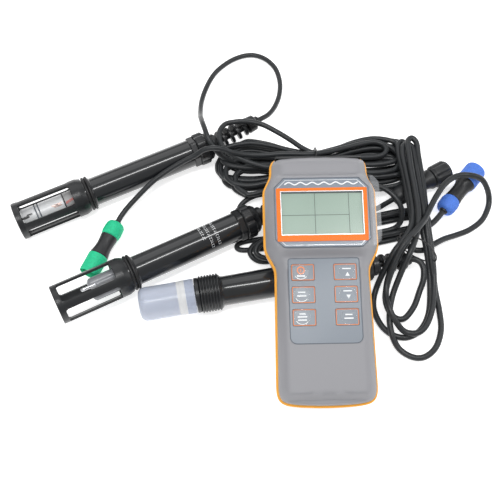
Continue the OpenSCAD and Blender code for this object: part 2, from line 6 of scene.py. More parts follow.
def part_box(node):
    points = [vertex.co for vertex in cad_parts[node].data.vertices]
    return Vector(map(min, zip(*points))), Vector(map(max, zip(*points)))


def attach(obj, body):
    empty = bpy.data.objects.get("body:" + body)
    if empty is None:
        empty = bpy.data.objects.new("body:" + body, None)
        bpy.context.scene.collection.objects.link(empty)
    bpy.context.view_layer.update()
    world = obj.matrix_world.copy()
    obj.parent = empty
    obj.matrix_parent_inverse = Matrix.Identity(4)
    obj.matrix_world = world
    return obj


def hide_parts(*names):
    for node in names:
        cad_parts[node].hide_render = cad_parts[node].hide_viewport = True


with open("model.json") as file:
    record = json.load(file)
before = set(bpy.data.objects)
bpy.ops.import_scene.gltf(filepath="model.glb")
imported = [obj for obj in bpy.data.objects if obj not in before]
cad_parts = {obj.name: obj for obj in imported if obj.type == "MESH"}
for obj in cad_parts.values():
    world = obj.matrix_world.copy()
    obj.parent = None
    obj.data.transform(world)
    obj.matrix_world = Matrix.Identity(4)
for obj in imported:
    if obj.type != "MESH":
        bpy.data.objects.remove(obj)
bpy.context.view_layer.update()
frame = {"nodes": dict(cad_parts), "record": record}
rec = frame["record"]
MM = 0.001
mounts = {m["name"]: m for m in rec["mounts"]}
joints = {j["name"]: j for j in rec["behaviour"]["joints"]}
scene = bpy.context.scene


# ---------- frames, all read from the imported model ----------

def centre(node):
    lo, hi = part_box(node)
    return (Vector(lo) + Vector(hi)) / 2


def along_axis(point, axis):
    """Frame whose Z runs along axis, Y is as near up as it can be and X is level."""
    z = Vector(axis).normalized()
    y = (Vector((0, 0, 1)) - z * z.z).normalized()
    x = y.cross(z)
    m = Matrix((x, y, z)).transposed().to_4x4()
    m.translation = Vector(point)
    return m @ Matrix.Scale(MM, 4)


up_axis = Vector(mounts["socket_middle"]["axis"]).normalized()
front_axis = -Vector(mounts["back_rest"]["axis"]).normalized()
meter_m = Matrix((up_axis.cross(front_axis), up_axis, front_axis)).transposed().to_4x4()
meter_m.translation = Vector(mounts["back_rest"]["pos_m"]) - up_axis * 14 * MM
METER = meter_m @ Matrix.Scale(MM, 4)

do_axis = Vector(joints["do_membrane_turn"]["axis"]).normalized()
ec_axis = -Vector(joints["ec_guard_off"]["axis"]).normalized()
ph_axis = Vector(joints["ph_cap_turn"]["axis"]).normalized()
DO = along_axis(centre("do_orings") - do_axis * 55.95 * MM, do_axis)
EC = along_axis(centre("ec_orings") - ec_axis * 55.95 * MM, ec_axis)
PH = along_axis(centre("ph_seal") - ph_axis * 33.5 * MM, ph_axis)


def plug_frame(name):
    j = joints[name + "_coupling_turn"]
    a = Vector(j["axis"]).normalized()
    return along_axis(Vector(j["pos_m"]) - a * 40 * MM, a)


GREEN, BLUE, BLACK = plug_frame("green"), plug_frame("blue"), plug_frame("black")
SHIFT = meter_m.translation / MM - Vector((47.8, -31.3, 23.05))
SET = Matrix.Translation(SHIFT * MM) @ Matrix.Scale(MM, 4)


# ---------- camera, light and floor ----------

def camera():
    turn, lift, reach = math.radians(-1.1), math.radians(64), 536.2
    aim = SET @ Vector((0, 0, 13))
    away = Vector((math.sin(turn) * math.cos(lift), -math.cos(turn) * math.cos(lift), math.sin(lift)))
    data = bpy.data.cameras.new("camera")
    data.sensor_width = 36
    data.lens = 36 * 740 / 500
    data.clip_start = 0.01
    cam = bpy.data.objects.new("camera", data)
    scene.collection.objects.link(cam)
    cam.location = aim + away * reach * MM
    cam.rotation_euler = (aim - cam.location).to_track_quat("-Z", "Y").to_euler()
    scene.camera = cam


def area(name, at, aim, size, power, turn=None):
    data = bpy.data.lights.new(name, "AREA")
    data.shape = "RECTANGLE"
    data.size, data.size_y = size
    data.energy = power
    o = bpy.data.objects.new(name, data)
    scene.collection.objects.link(o)
    o.location = at
    o.rotation_euler = (Vector(aim) - Vector(at)).to_track_quat("-Z", "Y").to_euler()
    if turn is not None:
        o.rotation_euler = (0, 0, math.radians(turn))


def studio():
    world = bpy.data.worlds.new("studio")
    scene.world = world
    world.use_nodes = True
    bg = world.node_tree.nodes["Background"]
    bg.inputs["Color"].default_value = (1, 1, 1, 1)
    bg.inputs["Strength"].default_value = 0.43
    area("key", (0.11, -0.13, 1.15), (0, 0, 0), (1.0, 0.13), 6.8, turn=23)
    area("back", (-0.2, 0.7, 0.8), (0, 0, 0), (1.3, 0.9), 3.6)
    area("side", (0.95, 0.1, 0.6), (0.05, 0, 0), (0.5, 0.6), 1.8)
    area("front", (-0.5, -0.8, 0.8), (0, 0, 0), (0.7, 0.35), 1.6)
    me = bpy.data.meshes.new("floor")
    me.from_pydata([(-3, -3, 0), (3, -3, 0), (3, 3, 0), (-3, 3, 0)], [], [(0, 1, 2, 3)])
    floor = bpy.data.objects.new("floor", me)
    scene.collection.objects.link(floor)
    m = bpy.data.materials.new("floor")
    m.use_nodes = True
    b = m.node_tree.nodes["Principled BSDF"]
    b.inputs["Base Color"].default_value = (0.93, 0.93, 0.93, 1)
    b.inputs["Roughness"].default_value = 0.9
    b.inputs["Specular IOR Level"].default_value = 0.1
    b.inputs["Emission Color"].default_value = (1, 1, 1, 1)
    b.inputs["Emission Strength"].default_value = 0.6
    me.materials.append(m)
    scene.view_settings.view_transform = "Standard"


camera()
studio()


# ---------- materials ----------

def shader(name):
    m = bpy.data.materials.new(name)
    m.use_nodes = True
    t = m.node_tree
    return m, t, t.nodes["Principled BSDF"]


def noise(t, scale, detail=3, rough=0.5, stretch=None):
    co = t.nodes.new("ShaderNodeTexCoord")
    n = t.nodes.new("ShaderNodeTexNoise")
    n.inputs["Scale"].default_value = scale
    n.inputs["Detail"].default_value = detail
    n.inputs["Roughness"].default_value = rough
    if stretch:
        mp = t.nodes.new("ShaderNodeMapping")
        mp.inputs["Scale"].default_value = stretch
        t.links.new(co.outputs["Object"], mp.inputs["Vector"])
        t.links.new(mp.outputs["Vector"], n.inputs["Vector"])
    else:
        t.links.new(co.outputs["Object"], n.inputs["Vector"])
    return n


def plastic(name, colour, rough=0.45, vary=0.06, grain=1800, bump=0.05, edge=0.0, spread=0.08, patch=40,
            coat=0.0, specular=0.5, metallic=0.0, alpha=1.0, glow=0.0, through=0.0, coat_rough=0.12):
    """Moulded surface: slow colour patches, fine grain bump, uneven sheen and paler worn edges."""
    m, t, b = shader(name)
    slow = noise(t, patch, 4)
    mix = t.nodes.new("ShaderNodeMix")
    mix.data_type = "RGBA"
    mix.inputs["A"].default_value = (*[c * (1 - vary) for c in colour], 1)
    mix.inputs["B"].default_value = (*[min(1, c * (1 + vary)) for c in colour], 1)
    t.links.new(slow.outputs["Fac"], mix.inputs["Factor"])
    out = mix.outputs["Result"]
    if edge:
        geo = t.nodes.new("ShaderNodeNewGeometry")
        ramp = t.nodes.new("ShaderNodeMapRange")
        ramp.inputs["From Min"].default_value = 0.52
        ramp.inputs["From Max"].default_value = 0.62
        ramp.inputs["To Max"].default_value = edge
        t.links.new(geo.outputs["Pointiness"], ramp.inputs["Value"])
        lift = t.nodes.new("ShaderNodeMix")
        lift.data_type = "RGBA"
        lift.inputs["B"].default_value = (*[min(1, c * 1.5 + 0.05) for c in colour], 1)
        t.links.new(ramp.outputs["Result"], lift.inputs["Factor"])
        t.links.new(out, lift.inputs["A"])
        out = lift.outputs["Result"]
    t.links.new(out, b.inputs["Base Color"])
    fine = noise(t, grain, 2)
    r = t.nodes.new("ShaderNodeMapRange")
    r.inputs["To Min"].default_value = max(0.02, rough - spread)
    r.inputs["To Max"].default_value = min(1, rough + spread)
    t.links.new(slow.outputs["Fac"], r.inputs["Value"])
    t.links.new(r.outputs["Result"], b.inputs["Roughness"])
    bp = t.nodes.new("ShaderNodeBump")
    bp.inputs["Strength"].default_value = bump
    bp.inputs["Distance"].default_value = 0.0004
    t.links.new(fine.outputs["Fac"], bp.inputs["Height"])
    t.links.new(bp.outputs["Normal"], b.inputs["Normal"])
    b.inputs["Metallic"].default_value = metallic
    b.inputs["Coat Weight"].default_value = coat
    b.inputs["Coat Roughness"].default_value = coat_rough
    b.inputs["Specular IOR Level"].default_value = specular
    b.inputs["Alpha"].default_value = alpha
    b.inputs["Transmission Weight"].default_value = through
    if glow:
        b.inputs["Emission Color"].default_value = (*colour, 1)
        b.inputs["Emission Strength"].default_value = glow
    return m


SHELL = plastic("shell_grey", (0.275, 0.275, 0.293), 0.5, 0.03, 2600, 0.10, edge=0.35, spread=0.05)
BAND = plastic("band_orange", (0.95, 0.40, 0.035), 0.45, 0.05, 2000, 0.08, edge=0.2)
PANEL = plastic("panel_slate", (0.19, 0.225, 0.275), 0.32, 0.05, 1500, 0.03, coat=0.3)
# dark outlines and marks, also used for painted shade in the grooves of the oxygen membrane cap
OUTLINE_AND_SHADE = plastic("outline_and_groove_shade", (0.09, 0.11, 0.14), 0.5, 0.08)
FRAME = plastic("frame_orange", (0.90, 0.185, 0.004), 0.5, 0.05, 1400, 0.03, specular=0.1)
LCD = plastic("lcd_glass", (0.31, 0.415, 0.345), 0.22, 0.07, 900, 0.01, patch=18, coat=0.6)
# dark divider lines on the display, also used for a painted shadow strip along its top edge
LCD_LINE_AND_SHADE = plastic("lcd_line_and_shade", (0.05, 0.075, 0.065), 0.4, 0.1)
SILVER = plastic("silver_edge", (0.72, 0.74, 0.75), 0.3, 0.1, metallic=0.6)
PAD = plastic("keypad_slate", (0.182, 0.212, 0.25), 0.42, 0.04, 2200, 0.06, coat=0.1)
KEYLINE = plastic("key_orange", (0.83, 0.24, 0.07), 0.45, 0.1)
# white print, also used for the painted highlight on the clear key domes
INK_AND_GLINT = plastic("white_ink_and_glint", (0.86, 0.88, 0.9), 0.5, 0.06)
PROBE = plastic("probe_black", (0.011, 0.0125, 0.0145), 0.3, 0.2, 1500, 0.03, edge=0.08, spread=0.06, patch=60, specular=0.25,
                coat=0.85, coat_rough=0.05)
NUT = plastic("nut_black", (0.009, 0.0102, 0.012), 0.34, 0.2, 1700, 0.08, edge=0.12, spread=0.08)
SOCKET = plastic("socket_black", (0.016, 0.017, 0.019), 0.4, 0.2)
RUBBER = plastic("rubber_black", (0.008, 0.008, 0.009), 0.5, 0.2, 1500, 0.06)
FOIL = plastic("membrane_silver", (0.64, 0.65, 0.66), 0.42, 0.12, 700, 0.12, patch=220, metallic=0.15)
CORE = plastic("core_grey", (0.36, 0.36, 0.36), 0.4, 0.12)
TIP = plastic("tip_grey", (0.27, 0.28, 0.30), 0.3, 0.15, coat=0.4)
RED = plastic("red_mark", (0.55, 0.06, 0.04), 0.4, 0.15)
COPPER = plastic("copper_blush", (0.52, 0.38, 0.34), 0.35, 0.15, patch=300, metallic=0.4)
METAL = plastic("bright_metal", (0.62, 0.63, 0.65), 0.25, 0.08, 900, 0.06, metallic=1.0)
PLUGBLACK = plastic("plug_black", (0.013, 0.014, 0.016), 0.42, 0.2, 1800, 0.12, edge=0.1)
GREENP = plastic("plug_green", (0.012, 0.58, 0.285), 0.6, 0.34, 1500, 0.6, patch=900, edge=0.15)
BLUEP = plastic("plug_blue", (0.075, 0.205, 0.72), 0.6, 0.34, 1500, 0.6, patch=900, edge=0.15)
CORD = plastic("cord_pvc", (0.023, 0.0255, 0.028), 0.38, 0.18, 2200, 0.06, spread=0.08, patch=90, specular=0.38)
TIE = plastic("tie_black", (0.01, 0.01, 0.011), 0.35, 0.15)
BOARD = plastic("board_green", (0.02, 0.16, 0.06), 0.35, 0.12, patch=300)
JACKET = plastic("cell_jacket", (0.55, 0.36, 0.08), 0.3, 0.1, coat=0.4)
BULB = plastic("bulb_glass", (0.8, 0.88, 0.9), 0.06, 0.04, bump=0.0, through=0.8)
MILKY = plastic("cap_milky", (0.66, 0.71, 0.83), 0.34, 0.05, 900, 0.04, patch=60, through=0.42, coat=0.2)
MILKY2 = plastic("cap_band", (0.64, 0.65, 0.66), 0.4, 0.05, 900, 0.04, patch=60)
MILKY3 = plastic("cap_thread", (0.36, 0.40, 0.50), 0.4, 0.2, 900, 0.2, patch=500)


def clear(name, share, tint, rough=0.12):
    """Thin clear plastic: mostly see-through, with a sheen and a faint haze."""
    m, t, b = shader(name)
    n = noise(t, 55, 4)
    r = t.nodes.new("ShaderNodeMapRange")
    r.inputs["To Min"].default_value = share * 0.7
    r.inputs["To Max"].default_value = share * 1.4
    t.links.new(n.outputs["Fac"], r.inputs["Value"])
    t.links.new(r.outputs["Result"], b.inputs["Alpha"])
    bp = t.nodes.new("ShaderNodeBump")
    bp.inputs["Strength"].default_value = 0.2
    bp.inputs["Distance"].default_value = 0.0006
    t.links.new(noise(t, 160, 3).outputs["Fac"], bp.inputs["Height"])
    t.links.new(bp.outputs["Normal"], b.inputs["Normal"])
    b.inputs["Base Color"].default_value = (*tint, 1)
    b.inputs["Roughness"].default_value = rough
    return m


FILM = clear("film_clear", 0.022, (0.7, 0.72, 0.75), 0.2)
FILM_EDGE = clear("film_edge", 0.14, (0.6, 0.62, 0.65), 0.2)
DOME = clear("dome_clear", 0.13, (0.82, 0.85, 0.88), 0.1)


# ---------- mesh building ----------

def skin(rings, wrap=True, cap0=True, cap1=True, loop=False):
    """Faces between rings of equally many points."""
    n = len(rings[0])
    verts = [tuple(p) for r in rings for p in r]
    faces = []
    for k in range(len(rings) - (0 if loop else 1)):
        a, b = k * n, ((k + 1) % len(rings)) * n
        for j in range(n if wrap else n - 1):
            j2 = (j + 1) % n
            faces.append((a + j, a + j2, b + j2, b + j))
    if cap0 and not loop:
        faces.append(tuple(range(n - 1, -1, -1)))
    if cap1 and not loop:
        faces.append(tuple((len(rings) - 1) * n + j for j in range(n)))
    return verts, faces


def lathe(profile, seg=72, loop=False, wave=None):
    """Profile of (radius, z) turned round Z. wave(angle, z) scales nothing and adds to the radius."""
    rings = []
    for r, z in profile:
        ring = []
        for k in range(seg):
            a = 2 * math.pi * k / seg
            rr = r + (wave(a, z) if wave else 0)
            ring.append((rr * math.cos(a), rr * math.sin(a), z))
        rings.append(ring)
    return skin(rings, loop=loop)


def shade(part, index):
    return part[0], part[1], index


def piece(name, parts, mats, body, m, replaces=(), bevel=0.0, angle=32, sub=0):
    """One mesh object from parts in millimetres, placed by m, riding on body."""
    verts, faces, idx = [], [], []
    for p in parts:
        k = len(verts)
        verts += [m @ Vector(v) for v in p[0]]
        faces += [tuple(k + i for i in f) for f in p[1]]
        idx += [p[2] if len(p) > 2 else 0] * len(p[1])
    me = bpy.data.meshes.new(name)
    me.from_pydata(verts, [], faces)
    for i, poly in enumerate(me.polygons):
        poly.material_index = idx[i]
    for x in mats if isinstance(mats, (list, tuple)) else [mats]:
        me.materials.append(x)
    import bmesh
    bm = bmesh.new()
    bm.from_mesh(me)
    bmesh.ops.recalc_face_normals(bm, faces=bm.faces)
    bm.to_mesh(me)
    bm.free()
    for poly in me.polygons:
        poly.use_smooth = True
    me.set_sharp_from_angle(angle=math.radians(angle))
    o = bpy.data.objects.new(name, me)
    scene.collection.objects.link(o)
    if bevel:
        b = o.modifiers.new("bevel", "BEVEL")
        b.width = bevel * MM
        b.segments = 3
        b.limit_method = "ANGLE"
        b.angle_limit = math.radians(28)
        b.harden_normals = False
    if sub:
        s = o.modifiers.new("sub", "SUBSURF")
        s.levels = s.render_levels = sub
    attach(o, body)
    if replaces:
        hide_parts(*replaces)
    return o


def plate(loops, z0, z1, soft=0.12):
    """Flat plate from an outer loop and hole loops, with softened edges."""
    cu = bpy.data.curves.new("plate", "CURVE")
    cu.dimensions = "2D"
    cu.fill_mode = "BOTH"
    cu.extrude = (z1 - z0) / 2 - soft
    cu.bevel_depth = soft
    cu.bevel_resolution = 2
    cu.offset = -soft
    for pts in loops:
        s = cu.splines.new("POLY")
        s.points.add(len(pts) - 1)
        for i, p in enumerate(pts):
            s.points[i].co = (p[0], p[1], 0, 1)
        s.use_cyclic_u = True
    o = bpy.data.objects.new("plate", cu)
    scene.collection.objects.link(o)
    me = bpy.data.meshes.new_from_object(o.evaluated_get(bpy.context.evaluated_depsgraph_get()))
    part = ([(v.co.x, v.co.y, v.co.z + (z0 + z1) / 2) for v in me.vertices], [tuple(p.vertices) for p in me.polygons])
    bpy.data.objects.remove(o)
    bpy.data.meshes.remove(me)
    bpy.data.curves.remove(cu)
    return part


def round_rect(x0, y0, x1, y1, r, n=6):
    """Closed loop with round corners. r is one radius or four, from the lower left round to the upper left."""
    rs = r if isinstance(r, (list, tuple)) else [r] * 4
    out = []
    for (cx, cy, a0), q in zip(((x0, y0, 180), (x1, y0, 270), (x1, y1, 0), (x0, y1, 90)), rs):
        ox = cx + (q if cx == x0 else -q)
        oy = cy + (q if cy == y0 else -q)
        for k in range(n + 1):
            a = math.radians(a0 + 90 * k / n)
            out.append((ox + q * math.cos(a), oy + q * math.sin(a)))
    return out


def chamfer_rect(x0, y0, x1, y1, ct, cb):
    """Closed loop with cut corners, ct at the top and cb at the bottom."""
    return [(x0, y0 + cb), (x0 + cb, y0), (x1 - cb, y0), (x1, y0 + cb), (x1, y1 - ct), (x1 - ct, y1), (x0 + ct, y1), (x0, y1 - ct)]


def smooth(ctrl, per=8, closed=False):
    """Catmull-Rom points through ctrl."""
    p = [Vector(c) for c in ctrl]
    n = len(p)
    out = []
    for i in range(n if closed else n - 1):
        if closed:
            a, b, c, d = p[(i - 1) % n], p[i], p[(i + 1) % n], p[(i + 2) % n]
        else:
            a, b, c, d = p[max(0, i - 1)], p[i], p[i + 1], p[min(n - 1, i + 2)]
        for k in range(per):
            f = k / per
            out.append(0.5 * (2 * b + (c - a) * f + (2 * a - 5 * b + 4 * c - d) * f * f + (3 * b - 3 * c + d - a) * f ** 3))
    if not closed:
        out.append(p[-1])
    return out


# ---------- meter ----------

def side_line(d=0.0):
    """Right side of the case outline from bottom to top, moved in by d."""
    p = [(0, -84.5), (6, -84.5), (18, -83.9), (26, -82.8), (29.8, -81.1), (31.4, -77.5), (31.8, -73.5), (31.3, -30), (30.8, 2),
         (31.1, 6), (36.8, 17), (37.7, 20), (37.7, 60.5), (33.2, 69.5), (32.6, 72), (32.6, 78.5), (31.2, 81.9),
         (27.6, 83.5), (16, 84.2), (6, 84.5), (0, 84.5)]
    out = [Vector((x, y, 0)) for x, y in p]
    fine = []
    for a, b in zip(out, out[1:]):
        n = max(1, int((b - a).length / 1.2))
        fine += [a + (b - a) * (k / n) for k in range(n)]
    fine.append(out[-1])
    for _ in range(4):
        fine = [fine[0]] + [(fine[i - 1] + fine[i] * 2 + fine[i + 1]) / 4 for i in range(1, len(fine) - 1)] + [fine[-1]]
    return fine


SIDE = side_line()
CONTOUR = SIDE + [Vector((-v.x, v.y, 0)) for v in SIDE[-2:0:-1]]


def outward(i):
    a, b = CONTOUR[i - 1], CONTOUR[(i + 1) % len(CONTOUR)]
    t = (b - a).normalized()
    return Vector((t.y, -t.x, 0))


NORMALS = [outward(i) for i in range(len(CONTOUR))]


def case_ring(inset, z):
    return [(v.x - n.x * inset, v.y - n.y * inset, z) for v, n in zip(CONTOUR, NORMALS)]


def soft_min(a, b, r):
    h = max(0.0, min(1.0, 0.5 + (b - a) / (2 * r)))
    return b + (a - b) * h - r * h * (1 - h)


def step(x, a, b):
    f = max(0.0, min(1.0, (x - a) / (b - a)))
    return f * f * (3 - 2 * f)


def edge_distance(x, y):
    p = Vector((x, y, 0))
    return min((p - v).length for v in CONTOUR)


def in_rect(x, y, x1, y0, y1, c):
    """Signed depth inside a rectangle with cut corners, positive inside."""
    return min(x1 - abs(x), y - y0, y1 - y, (x1 - abs(x) + y - y0 - c) * 0.72, (x1 - abs(x) + y1 - y - c) * 0.72)


def front_height(x, y, e):
    head = step(y, 11.4, 16.6) * (1 - step(y, 66.0, 69.4))
    cap = step(y, 66, 70)
    flat = 30 + 5 * head + 1.0 * cap
    slope = 1.25 + 0.55 * head
    z = soft_min(flat, 23.6 + slope * e, 1.9 + 0.8 * head)
    low = 24.6 + 1.3 * (y + 81.2) + 1.4 * max(0.0, abs(x) - 25.0)
    if y < -68:
        z = soft_min(z, max(low, 24.8), 0.4)
    z = soft_min(z, 23.6 + 1.8 * e, 0.4)
    z -= 1.6 * step(in_rect(x, y, 31.2, 17.0, 64.4, 6), 0.0, 0.8) + 1.6 * step(in_rect(x, y, 23.2, -45.2, 10.2, 3), 0.0, 0.8)
    return z


def case_front():
    shares = (0.03, 0.06, 0.1, 0.14, 0.19, 0.25, 0.3, 0.34, 0.42, 0.55, 0.7, 0.85, 1.0)
    rings = [case_ring(0.3, 19.7), case_ring(0.3, 21.4), case_ring(0.45, 22.9)]
    for k in shares:
        ring = []
        for v, n in zip(CONTOUR, NORMALS):
            q = Vector((0, max(-72, min(74, v.y)), 0))
            base = Vector((v.x - n.x * 0.5, v.y - n.y * 0.5, 0))
            p = base + (q - base) * (k if k > 0.03 else 0.0)
            ring.append((p.x, p.y, front_height(p.x, p.y, max(0.0, edge_distance(p.x, p.y) - 0.5))))
        rings.append(ring)
    return skin(rings, cap0=True, cap1=False)


def cut(o, x, y, z):
    """Cut a box out of an object, the box given in the meter's millimetres."""
    import bmesh
    me = bpy.data.meshes.new("cutter")
    bm = bmesh.new()
    bmesh.ops.create_cube(bm, size=1)
    for v in bm.verts:
        v.co = METER @ Vector((x[0] + (x[1] - x[0]) * (v.co.x + 0.5), y[0] + (y[1] - y[0]) * (v.co.y + 0.5), z[0] + (z[1] - z[0]) * (v.co.z + 0.5)))
    bm.to_mesh(me)
    bm.free()
    c = bpy.data.objects.new("cutter", me)
    scene.collection.objects.link(c)
    mod = o.modifiers.new("cut", "BOOLEAN")
    mod.object = c
    mod.solver = "EXACT"
    new = bpy.data.meshes.new_from_object(o.evaluated_get(bpy.context.evaluated_depsgraph_get()))
    o.modifiers.remove(mod)
    o.data = new
    bpy.data.objects.remove(c)
    bpy.data.meshes.remove(me)


front = piece("front_case", [case_front()], SHELL, "set", METER, ["front_shell"], angle=40)
cut(front, (-29.9, 29.9), (76, 88), (12, 25))
band = piece("coloured_band", [skin([case_ring(i, z) for i, z in ((0.9, 15.0), (-0.8, 15.05), (-1.12, 15.5), (-1.2, 16.2), (-1.2, 18.4), (-1.12, 19.1), (-0.7, 19.5), (0.9, 19.55))], loop=True)],
             BAND, "set", METER, ["edge_band"], angle=50)
cut(band, (-29.9, 29.9), (76, 88), (12, 25))


def rear_parts():
    body = skin([case_ring(i, z) for i, z in ((6, 0.0), (3.4, 0.0), (1.9, 0.45), (0.9, 1.3), (0.3, 2.6), (0.05, 4.5), (0.0, 8), (0.0, 14.95))])

    def pad(w, y0, y1, c):
        out = []
        for d, z in ((2.0, -6.0), (1.2, -5.9), (0.4, -5.2), (0.0, -4.0), (0.0, 1.0)):
            out.append([(x, y, z) for x, y in chamfer_rect(-w + d, y0 + d, w - d, y1 - d, c, c)])
        return skin(out)
    return [body, pad(29, -82, -8, 6), pad(30, 28, 64, 8)]


rear = piece("rear_case", rear_parts(), SHELL, "set", METER, ["rear_shell"], angle=40)
cut(rear, (-29.9, 29.9), (76, 88), (12, 25))
cut(rear, (-23.4, 23.4), (-72.4, -19.6), (-8, -4.2))
door_marks = [plate([round_rect(-9, y, 9, y + 1.0, 0.5)], -6.02, -5.7, 0.1) for y in (-33, -30.6, -28.2, -25.8)]
piece("battery_cover", [plate([round_rect(-23, -72, 23, -20, 2)], -6, -4.5, 0.25)] + [shade(p, 1) for p in door_marks], [SHELL, OUTLINE_AND_SHADE],
      "door", METER, ["battery_door"])


def socket_parts():
    mouths = [[(i * 20 + 5.2 * math.cos(a * math.pi / 24), 19 + 5.2 * math.sin(a * math.pi / 24)) for a in range(48)] for i in (-1, 0, 1)]
    out = [plate([round_rect(-29.6, 12.9, 29.6, 25.1, 1)] + mouths, 0, 1.6, 0.2)]
    rings = []
    for i in (-1, 0, 1):
        ring = lathe([(5.2, 1.2), (5.2, -7.4), (4.2, -7.4), (4.2, -2.2), (3.8, -1.9), (0.01, -1.9)], 48)
        rings.append(([(x + i * 20, y + 19, z) for x, y, z in ring[0]], ring[1]))
        for k in range(5):
            a = 2 * math.pi * k / 5
            pin = lathe([(0.45, -2.0), (0.45, 0.2), (0.2, 0.5), (0.01, 0.5)], 10)
            rings.append(([(x + i * 20 + 2.4 * math.cos(a), y + 19 + 2.4 * math.sin(a), z) for x, y, z in pin[0]], pin[1], 1))
    turn = Matrix(((1, 0, 0, 0), (0, 0, 1, 82.6), (0, -1, 0, 38), (0, 0, 0, 1)))
    return [([tuple(turn @ Vector((x, y, z))) for x, y, z in p[0]], p[1], p[2] if len(p) > 2 else 0) for p in out + rings]


piece("socket_panel", socket_parts(), [SOCKET, METAL], "set", METER, ["socket_block", "socket_inserts"])


def ribbon(pts, w, z0, z1):
    """Flat line of width w along pts."""
    left, right = [], []
    for i, p in enumerate(pts):
        a, b = Vector(pts[max(0, i - 1)]), Vector(pts[min(len(pts) - 1, i + 1)])
        t = (b - a).normalized()
        n = Vector((-t.y, t.x)) * w / 2
        left.append((p[0] + n.x, p[1] + n.y))
        right.append((p[0] - n.x, p[1] - n.y))
    return plate([left + right[::-1]], z0, z1, 0.05)


def frame_line(outer, inner, z0, z1, soft=0.08):
    return plate([outer, inner], z0, z1, soft)


WIN = chamfer_rect(-31.6, 16.7, 31.6, 64.8, 6.6, 5.6)
WIN_IN = chamfer_rect(-31.0, 17.3, 31.0, 64.2, 6.3, 5.3)
LCD_HOLE = round_rect(-27.1, 25.2, 27.1, 54.9, 0.5)
piece("window", [plate([WIN, LCD_HOLE], 33.6, 35.4, 0.25), shade(frame_line(WIN, WIN_IN, 35.3, 35.62), 1),
                 shade(frame_line(chamfer_rect(-29.9, 18.2, 29.9, 63.2, 5.9, 5.0), chamfer_rect(-29.6, 18.5, 29.6, 62.9, 5.8, 4.9), 35.3, 35.5, 0.05), 2)],
      [PANEL, OUTLINE_AND_SHADE, SILVER], "set", METER, ["window_panel"])
FR_OUT = [(-30.1, 21.4), (-29.5, 20.8), (29.2, 20.8), (29.8, 21.4), (30.3, 56.8), (29.8, 57.5), (-29.6, 57.5), (-30.3, 56.8)]
FR_IN = [(-27.0, 25.3), (27.0, 25.3), (27.2, 55.0), (-27.2, 55.0)]
piece("display_frame", [frame_line(FR_OUT, FR_IN, 35.4, 35.95, 0.15),
                        shade(frame_line([(-27.3, 24.9), (27.3, 24.9), (27.6, 55.3), (-27.6, 55.3)], [(-26.8, 25.5), (26.8, 25.5), (27.0, 54.8), (-27.0, 54.8)], 35.5, 36.02, 0.06), 1)],
      [FRAME, SILVER], "set", METER, ["lcd_frame"])
lines = [ribbon([(-4.7, 25.4), (-4.7, 54.7)], 0.34, 34.62, 34.7), ribbon([(17.9, 25.4), (17.9, 54.7)], 0.34, 34.62, 34.7),
         ribbon([(-26.8, 38.9), (17.9, 38.9)], 0.34, 34.62, 34.7)]
# the 0.9 mm dark strip at y 54.4 is painted shadow along the top edge of the recessed display; the thinner lines are
# its own divider lines
piece("display", [plate([round_rect(-27.4, 24.9, 27.4, 55.2, 0.4)], 33.9, 34.6, 0.1)] + [shade(p, 1) for p in lines]
      + [shade(ribbon([(-26.9, 54.4), (26.9, 54.4)], 0.9, 34.62, 34.7), 1)], [LCD, LCD_LINE_AND_SHADE], "set", METER, ["lcd_module"])
wave = [[(x / 4, 60.7 + 0.8 * math.sin(x * 0.2)) for x in range(-98, 99)]]
piece("water_line_mark", [ribbon(wave[0], 0.85, 35.42, 35.56)], INK_AND_GLINT, "set", METER)

# keypad with openings for the keys
KEYS = {"power": (-13.9, 1.2), "cal": (-13.9, -13.7), "mode": (-13.9, -28.6), "up": (13.9, 1.2), "down": (13.9, -13.7), "enter": (13.9, -28.6)}
PAD_OUT = round_rect(-23.6, -45.8, 23.6, 10.8, [4.6, 4.6, 1.8, 1.8])
PAD_IN = round_rect(-23.1, -45.3, 23.1, 10.3, [4.2, 4.2, 1.5, 1.5])
holes = [round_rect(x - 7.6, y - 5.5, x + 7.6, y + 5.5, 1.0) for x, y in KEYS.values()]
piece("keypad_face", [plate([PAD_OUT] + holes, 28.5, 30.05, 0.15), shade(frame_line(PAD_OUT, PAD_IN, 30.0, 30.22, 0.05), 1)],
      [PAD, OUTLINE_AND_SHADE], "set", METER, ["keypad"])


def disc(x, y, r, z0, z1, h=0.0):
    """Round pad with a soft top edge."""
    p = lathe([(r, z0), (r, z1 - 0.15), (r - 0.2, z1), (r * 0.6, z1 + h * 0.7), (0.01, z1 + h)], 40)
    return [(a + x, b + y, c) for a, b, c in p[0]], p[1]


